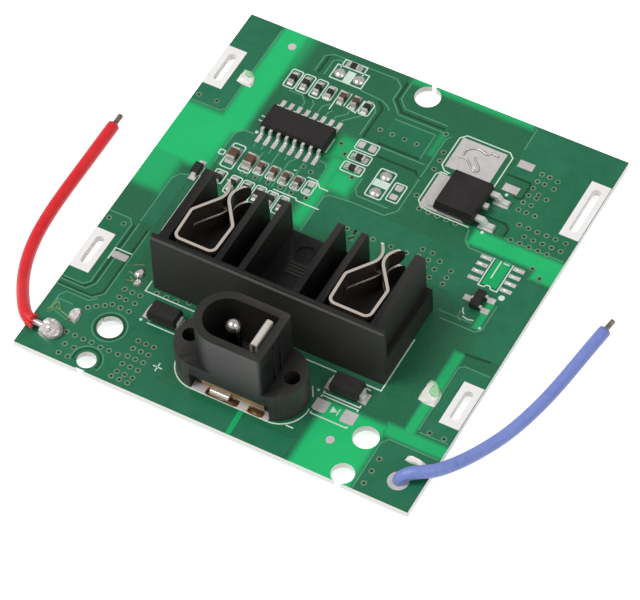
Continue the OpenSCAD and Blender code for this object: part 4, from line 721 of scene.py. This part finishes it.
bright = Shape()                                       # gaps in the copper that let light through
bright.stroke([(2.93, -28.3), (3.1, -32.15)], 0.75, *layer(GAP_TOP + 0.002))
bright.prism([box(21.25, 4.75, 23.45, 9.1)], *layer(GAP_TOP))
bright.done("bare_gaps", BARE, "laminate")
pours.done("copper_pours", POUR, "laminate")
lines.done("copper_edges", TRACE, "laminate")
dark.done("copper_gaps", GAP, "laminate")
white.done("legend", SILK, "laminate")
vias.done("via_rings", VIA_RING, "laminate")
dots.done("via_holes", HOLE, "laminate")
lands.done("bare_lands", TIN, "tin")


# ---------------------------------------------------------------- solder, flux and the jack's inside
LAND = TOP + 0.08                                      # upper face of the solid lands
FOOT = LAND - 0.02                                     # where the heaps on them start


def patch(shape, outline, height, seed):
    """A crumpled scrap of solder: an outline, two raised inner outlines and a peak."""
    rnd = random.Random(seed)
    n, base = len(outline), len(shape.points)
    cx, cy = sum(x for x, _ in outline) / n, sum(y for _, y in outline) / n
    shape.points += [(x, y, TOP + 0.02) for x, y in outline]
    for k in (0.82, 0.4):
        shape.points += [(cx + (x - cx) * k * rnd.uniform(0.85, 1.1),
                          cy + (y - cy) * k * rnd.uniform(0.85, 1.1),
                          TOP + height * rnd.uniform(0.45, 1.0)) for x, y in outline]
    shape.points.append((cx, cy, TOP + height * 0.7))
    for row in (base, base + n):
        for k in range(n):
            k1 = (k + 1) % n
            shape.faces.append((row + k, row + k1, row + n + k1, row + n + k))
    row = base + 2 * n
    for k in range(n):
        shape.faces.append((row + k, row + (k + 1) % n, row + n))


# Scraps of solder at the right, the rear left and the front right
WELLS = [
    [(22.6, -15.95), (23.8, -16.2), (25.15, -16.1), (25.2, -15.0), (25.0, -14.05), (24.2, -13.2),
     (23.5, -12.6), (22.85, -12.55), (22.6, -13.4), (22.5, -14.8)],
    [(-25.6, 20.55), (-24.4, 20.3), (-23.2, 20.35), (-23.15, 21.2), (-23.5, 21.95), (-24.4, 22.7),
     (-25.45, 22.65), (-25.6, 21.6)],
    [(25.6, -25.2), (26.5, -25.35), (27.3, -25.2), (28.4, -25.3), (28.3, -24.5), (27.4, -24.3),
     (26.3, -24.2), (25.7, -24.4)]]
wells = Shape()
for k, outline in enumerate(WELLS):
    patch(wells, outline, 0.42, seed=40 + k)
ob = wells.done("solder_wells", GLINT, "tin")
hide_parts("solder_bridges")

# Rougher ones beside the red joint and at the block's corner, with their height and seed
CRUSTS = [
    ([(-25.6, -24.6), (-25.3, -25.5), (-24.75, -25.75), (-23.95, -26.1), (-23.75, -25.2), (-23.95, -24.25),
      (-24.5, -23.5), (-25.2, -23.9)], 0.55, 51),
    ([(-20.95, -15.5), (-20.2, -15.7), (-19.75, -15.2), (-19.8, -14.4), (-20.4, -14.0), (-21.0, -14.6)],
     0.6, 52),
    ([(-20.3, -16.9), (-19.6, -16.8), (-19.3, -16.2), (-19.7, -15.8), (-20.3, -16.1)], 0.4, 53)]
crust = Shape()
for outline, height, seed in CRUSTS:
    patch(crust, outline, height, seed)
crust.done("solder_crusts", CRUST, "tin")

# Green residue on two of the scraps: a flat window each and a line along the far edges
tint = Shape()
tint.prism([[(23.35, -14.35), (23.5, -13.1), (24.1, -13.2), (24.9, -14.2), (24.6, -14.9), (23.9, -14.8)]],
           TOP + 0.3, TOP + 0.44)
tint.prism([[(-24.9, 21.8), (-24.9, 22.5), (-24.4, 22.5), (-23.8, 21.9), (-24.3, 21.6)]],
           TOP + 0.28, TOP + 0.42)
for pts in ([(22.6, -13.4), (22.85, -12.55), (23.5, -12.6), (24.2, -13.2), (25.05, -14.05), (25.2, -15.0)],
            [(-25.5, 22.7), (-24.4, 22.75), (-23.5, 22.0), (-23.2, 21.2)]):
    tint.stroke(pts, 0.16, TOP, TOP + 0.16)
tint.done("solder_residue", RESIDUE, "tin")

# Dried flux: thin lines beside the red joint, at the block's corner and by the small transistor
SMEARS = [
    [(-28.5, -25.6), (-27.75, -23.8)], [(-28.1, -25.3), (-27.2, -24.3)],
    [(-26.85, -25.05), (-25.5, -25.4), (-24.6, -25.95)], [(-27.9, -24.9), (-26.85, -25.05)],
    [(-27.75, -23.8), (-26.9, -25.0)], [(-28.3, -26.0), (-27.4, -25.2)],
    [(-21.9, -14.0), (-20.6, -13.3)], [(-21.6, -16.6), (-19.2, -16.1)], [(-21.4, -15.9), (-19.4, -16.7)],
    [(-21.9, -15.2), (-20.9, -15.3)], [(20.9, -0.6), (21.0, -1.6), (21.6, -2.1)]]
smears = Shape()
for pts in SMEARS:
    smears.stroke(pts, 0.16, *layer(0.05))
smears.done("flux_smears", HAZE, "tin")

# Burnt flux: spots, a rim round the red joint, and the fill and rim of the two slots at the jack
burnt = Shape()
for x, y, rx, ry, seed in ((-20.35, -14.3, 0.42, 0.42, 5), (-24.9, -25.7, 0.3, 0.3, 6),
                           (-27.4, -27.7, 0.35, 0.3, 7), (-26.2, -28.5, 1.62, 1.55, 8)):
    burnt.blob(x, y, TOP + 0.012, rx, ry, 0.1, seed, rough=0.35, rings=3, sides=18, power=3.0)
for x0, x1 in ((-2.78, 2.08), (3.55, 5.88)):
    outline = round_box(x0, -28.03, x1, -26.97, 0.5)
    burnt.prism([outline], LOW + 0.35, TOP - 0.12)
    burnt.stroke(closed(outline), 0.14, LAND - 0.01, LAND + 0.02)
burnt.done("flux_residue", FLUX, "tin", True)

# The red joint: a lumpy skin over the solid dome, twisted strands and torn insulation
JOINT_X, JOINT_Y, JOINT_HEIGHT = -26.15, -28.45, 1.58
joint = Shape()
joint.blob(JOINT_X, JOINT_Y, TOP, 1.48, 1.48, JOINT_HEIGHT, seed=4, rough=0.4, rings=5, sides=13, power=3.0)
for k in range(9):
    a = 2 * math.pi * k / 9 + 0.2
    joint.blob(JOINT_X + 0.85 * math.cos(a), JOINT_Y + 0.85 * math.sin(a), TOP + JOINT_HEIGHT - 0.4,
               0.45, 0.3, 0.35, seed=60 + k, rough=0.7, rings=3, sides=7, power=2.0)
joint.done("red_joint_skin", CRUST, "tin")
STRANDS, TWIST = 6, 0.36                               # how many strands, and the radius of their twist
for k in range(STRANDS):
    pts = []
    for i in range(9):
        a, along = 2 * math.pi * (k / STRANDS + i / 14), i / 8
        pts.append((-29.2 + 2.6 * along, -28.78 + 0.25 * along + TWIST * math.cos(a),
                    3.15 - 0.3 * along + TWIST * math.sin(a)))
    tube("red_start_strand_%d" % k, smooth_line(pts, 3), 0.12, STRAND, "tin", sides=8)
rnd = random.Random(8)
TEARS, TEAR_RING = 9, WIRE / 2 - 0.16                  # how many torn strips, and their circle's radius
for k in range(TEARS):
    cos, sin = math.cos(2 * math.pi * k / TEARS), math.sin(2 * math.pi * k / TEARS)
    y, z = -28.8 + TEAR_RING * cos, 3.2 + TEAR_RING * sin
    reach = rnd.uniform(0.35, 1.05)
    strip = [(-29.6, y, z), (-29.1, y, z), (-29.1 + reach * 0.6, y + 0.1 * cos, z),
             (-29.1 + reach, y + 0.3 * cos, z + 0.1 * sin)]
    tube("torn_insulation_%d" % k, smooth_line(strip, 3), rnd.uniform(0.13, 0.24), RED,
         SLOT_OF["red_wire"], sides=8)

# Solder ridges left on the empty transistor land, each a wide darker band of painted shade under a narrow
# lighter band of painted highlight, and solder heaps on small lands and diode ends
TRACKS = [
    ([(8.9, 23.0), (8.95, 24.05), (9.85, 24.8), (10.9, 24.9), (11.8, 24.6), (12.5, 25.1), (13.5, 24.95)],
     0.42),
    ([(8.55, 22.45), (9.45, 22.7), (10.2, 22.3), (10.85, 21.6), (11.5, 21.2), (12.05, 21.5), (11.7, 22.2),
      (11.0, 22.9), (10.5, 23.5)], 0.34)]
shaded_ridges, solder_and_highlight = Shape(), Shape()
# Wide darker band as painted shade, narrow lighter band along its top as painted highlight
for pts, wide in TRACKS:
    soft = [(p.x, p.y) for p in smooth_line([(x, y, 0) for x, y in pts], 5)]
    shaded_ridges.stroke(soft, wide, LAND - 0.01, LAND + 0.03)
    solder_and_highlight.stroke([(x - 0.06, y + 0.05) for x, y in soft], wide * 0.5, LAND, LAND + 0.07)
solder_and_highlight.blob(11.35, 21.85, FOOT, 0.42, 0.4, 0.16, seed=31, rough=0.25, rings=4, sides=16, power=2.2)
shaded_ridges.done("shaded_solder_ridges", RIDGE_SHADE, "tin")
LEAD_PITCH = 1.27                                      # between the lands of the missing eight-lead chip
for x in (19.9, 24.8):
    for i in range(4):
        solder_and_highlight.blob(x, 6.9 + (i - 1.5) * LEAD_PITCH, FOOT, 0.78, 0.22, 0.2,
                   seed=80 + i, rough=0.3, rings=4, sides=14, power=2.6)
for x, y, seed in ((16.2, -19.1, 5), (-11.1, -20.0, 9)):
    solder_and_highlight.blob(x, y, FOOT, 0.55, 0.75, 0.75, seed, rough=0.25, rings=5, sides=16, power=2.2)
solder_and_highlight.done("solder_and_ridge_highlight", LEAD, "tin", True)

# The contact pin's round tip: part of a ball that hides the solid pin's slit end. It shares the pin's finish,
# painted shade towards its foot included
PIN_X, PIN_Y, PIN_TOP = -0.2, -23.5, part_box("jack_pin")[1].z / MM
BALL, RINGS, SIDES = 1.02, 8, 28                       # radius in mm, and how finely it is cut
pin = Shape()
for i in range(RINGS + 1):
    a = math.radians(-50 + 140 * i / RINGS)
    for k in range(SIDES):
        u = 2 * math.pi * k / SIDES
        pin.points.append((PIN_X + BALL * math.cos(a) * math.cos(u),
                           PIN_Y + BALL * math.cos(a) * math.sin(u),
                           PIN_TOP - 1.0 + BALL * math.sin(a)))
for i in range(RINGS * SIDES):
    row, k1 = i // SIDES * SIDES, (i + 1) % SIDES
    pin.faces.append((i, row + k1, row + SIDES + k1, i + SIDES))
pin.done("pin_tip", PIN, "contact_metal", True)


# ---------------------------------------------------------------- stage and light
def white_floor():
    """Pale matt floor that the camera sees as white where no shadow falls."""
    t = Tree("pale_floor")
    t.set(Base_Color=(0.86, 0.86, 0.86), Roughness=0.9, Specular_IOR_Level=0.1)
    glow = t.nodes.new("ShaderNodeEmission")
    glow.inputs["Color"].default_value = (1, 1, 1, 1)
    glow.inputs["Strength"].default_value = 0.75
    path = t.nodes.new("ShaderNodeLightPath").outputs
    seen = t.math("MAXIMUM", path["Is Camera Ray"], path["Is Glossy Ray"])
    seen = t.math("MAXIMUM", seen, path["Is Transmission Ray"])
    add = t.nodes.new("ShaderNodeAddShader")
    pick = t.nodes.new("ShaderNodeMixShader")
    for a, b in ((t.bsdf.outputs[0], add.inputs[0]), (glow.outputs[0], add.inputs[1]),
                 (seen, pick.inputs[0]), (t.bsdf.outputs[0], pick.inputs[1]),
                 (add.outputs[0], pick.inputs[2]),
                 (pick.outputs[0], t.nodes["Material Output"].inputs["Surface"])):
        t.links.new(a, b)
    return t.mat


FLOOR_HALF, FLOOR_Z = 3.0, -0.0001                     # in metres
mesh = bpy.data.meshes.new("floor")
mesh.from_pydata([(x, y, 0) for x, y in box(-FLOOR_HALF, -FLOOR_HALF, FLOOR_HALF, FLOOR_HALF)], [],
                 [(0, 1, 2, 3)])
mesh.materials.append(white_floor())
floor = bpy.data.objects.new("floor", mesh)
floor.location.z = FLOOR_Z
SCENE.collection.objects.link(floor)


def lamp(name, loc, size, power):
    """A round soft light that points at the board."""
    data = bpy.data.lights.new(name, "AREA")
    data.shape = "DISK"
    data.size = size
    data.energy = power
    ob = bpy.data.objects.new(name, data)
    ob.location = loc
    ob.rotation_euler = (-Vector(loc)).to_track_quat("-Z", "Y").to_euler()
    SCENE.collection.objects.link(ob)


lamp("key", (-0.42, -0.3, 0.8), size=0.45, power=5.0)
lamp("fill", (0.6, -0.1, 0.7), size=0.6, power=1.6)
world = bpy.data.worlds.new("studio")
world.use_nodes = True
back = world.node_tree.nodes["Background"]
back.inputs["Color"].default_value = (1, 1, 1, 1)
back.inputs["Strength"].default_value = 0.36
SCENE.world = world
SCENE.view_settings.view_transform = "Standard"
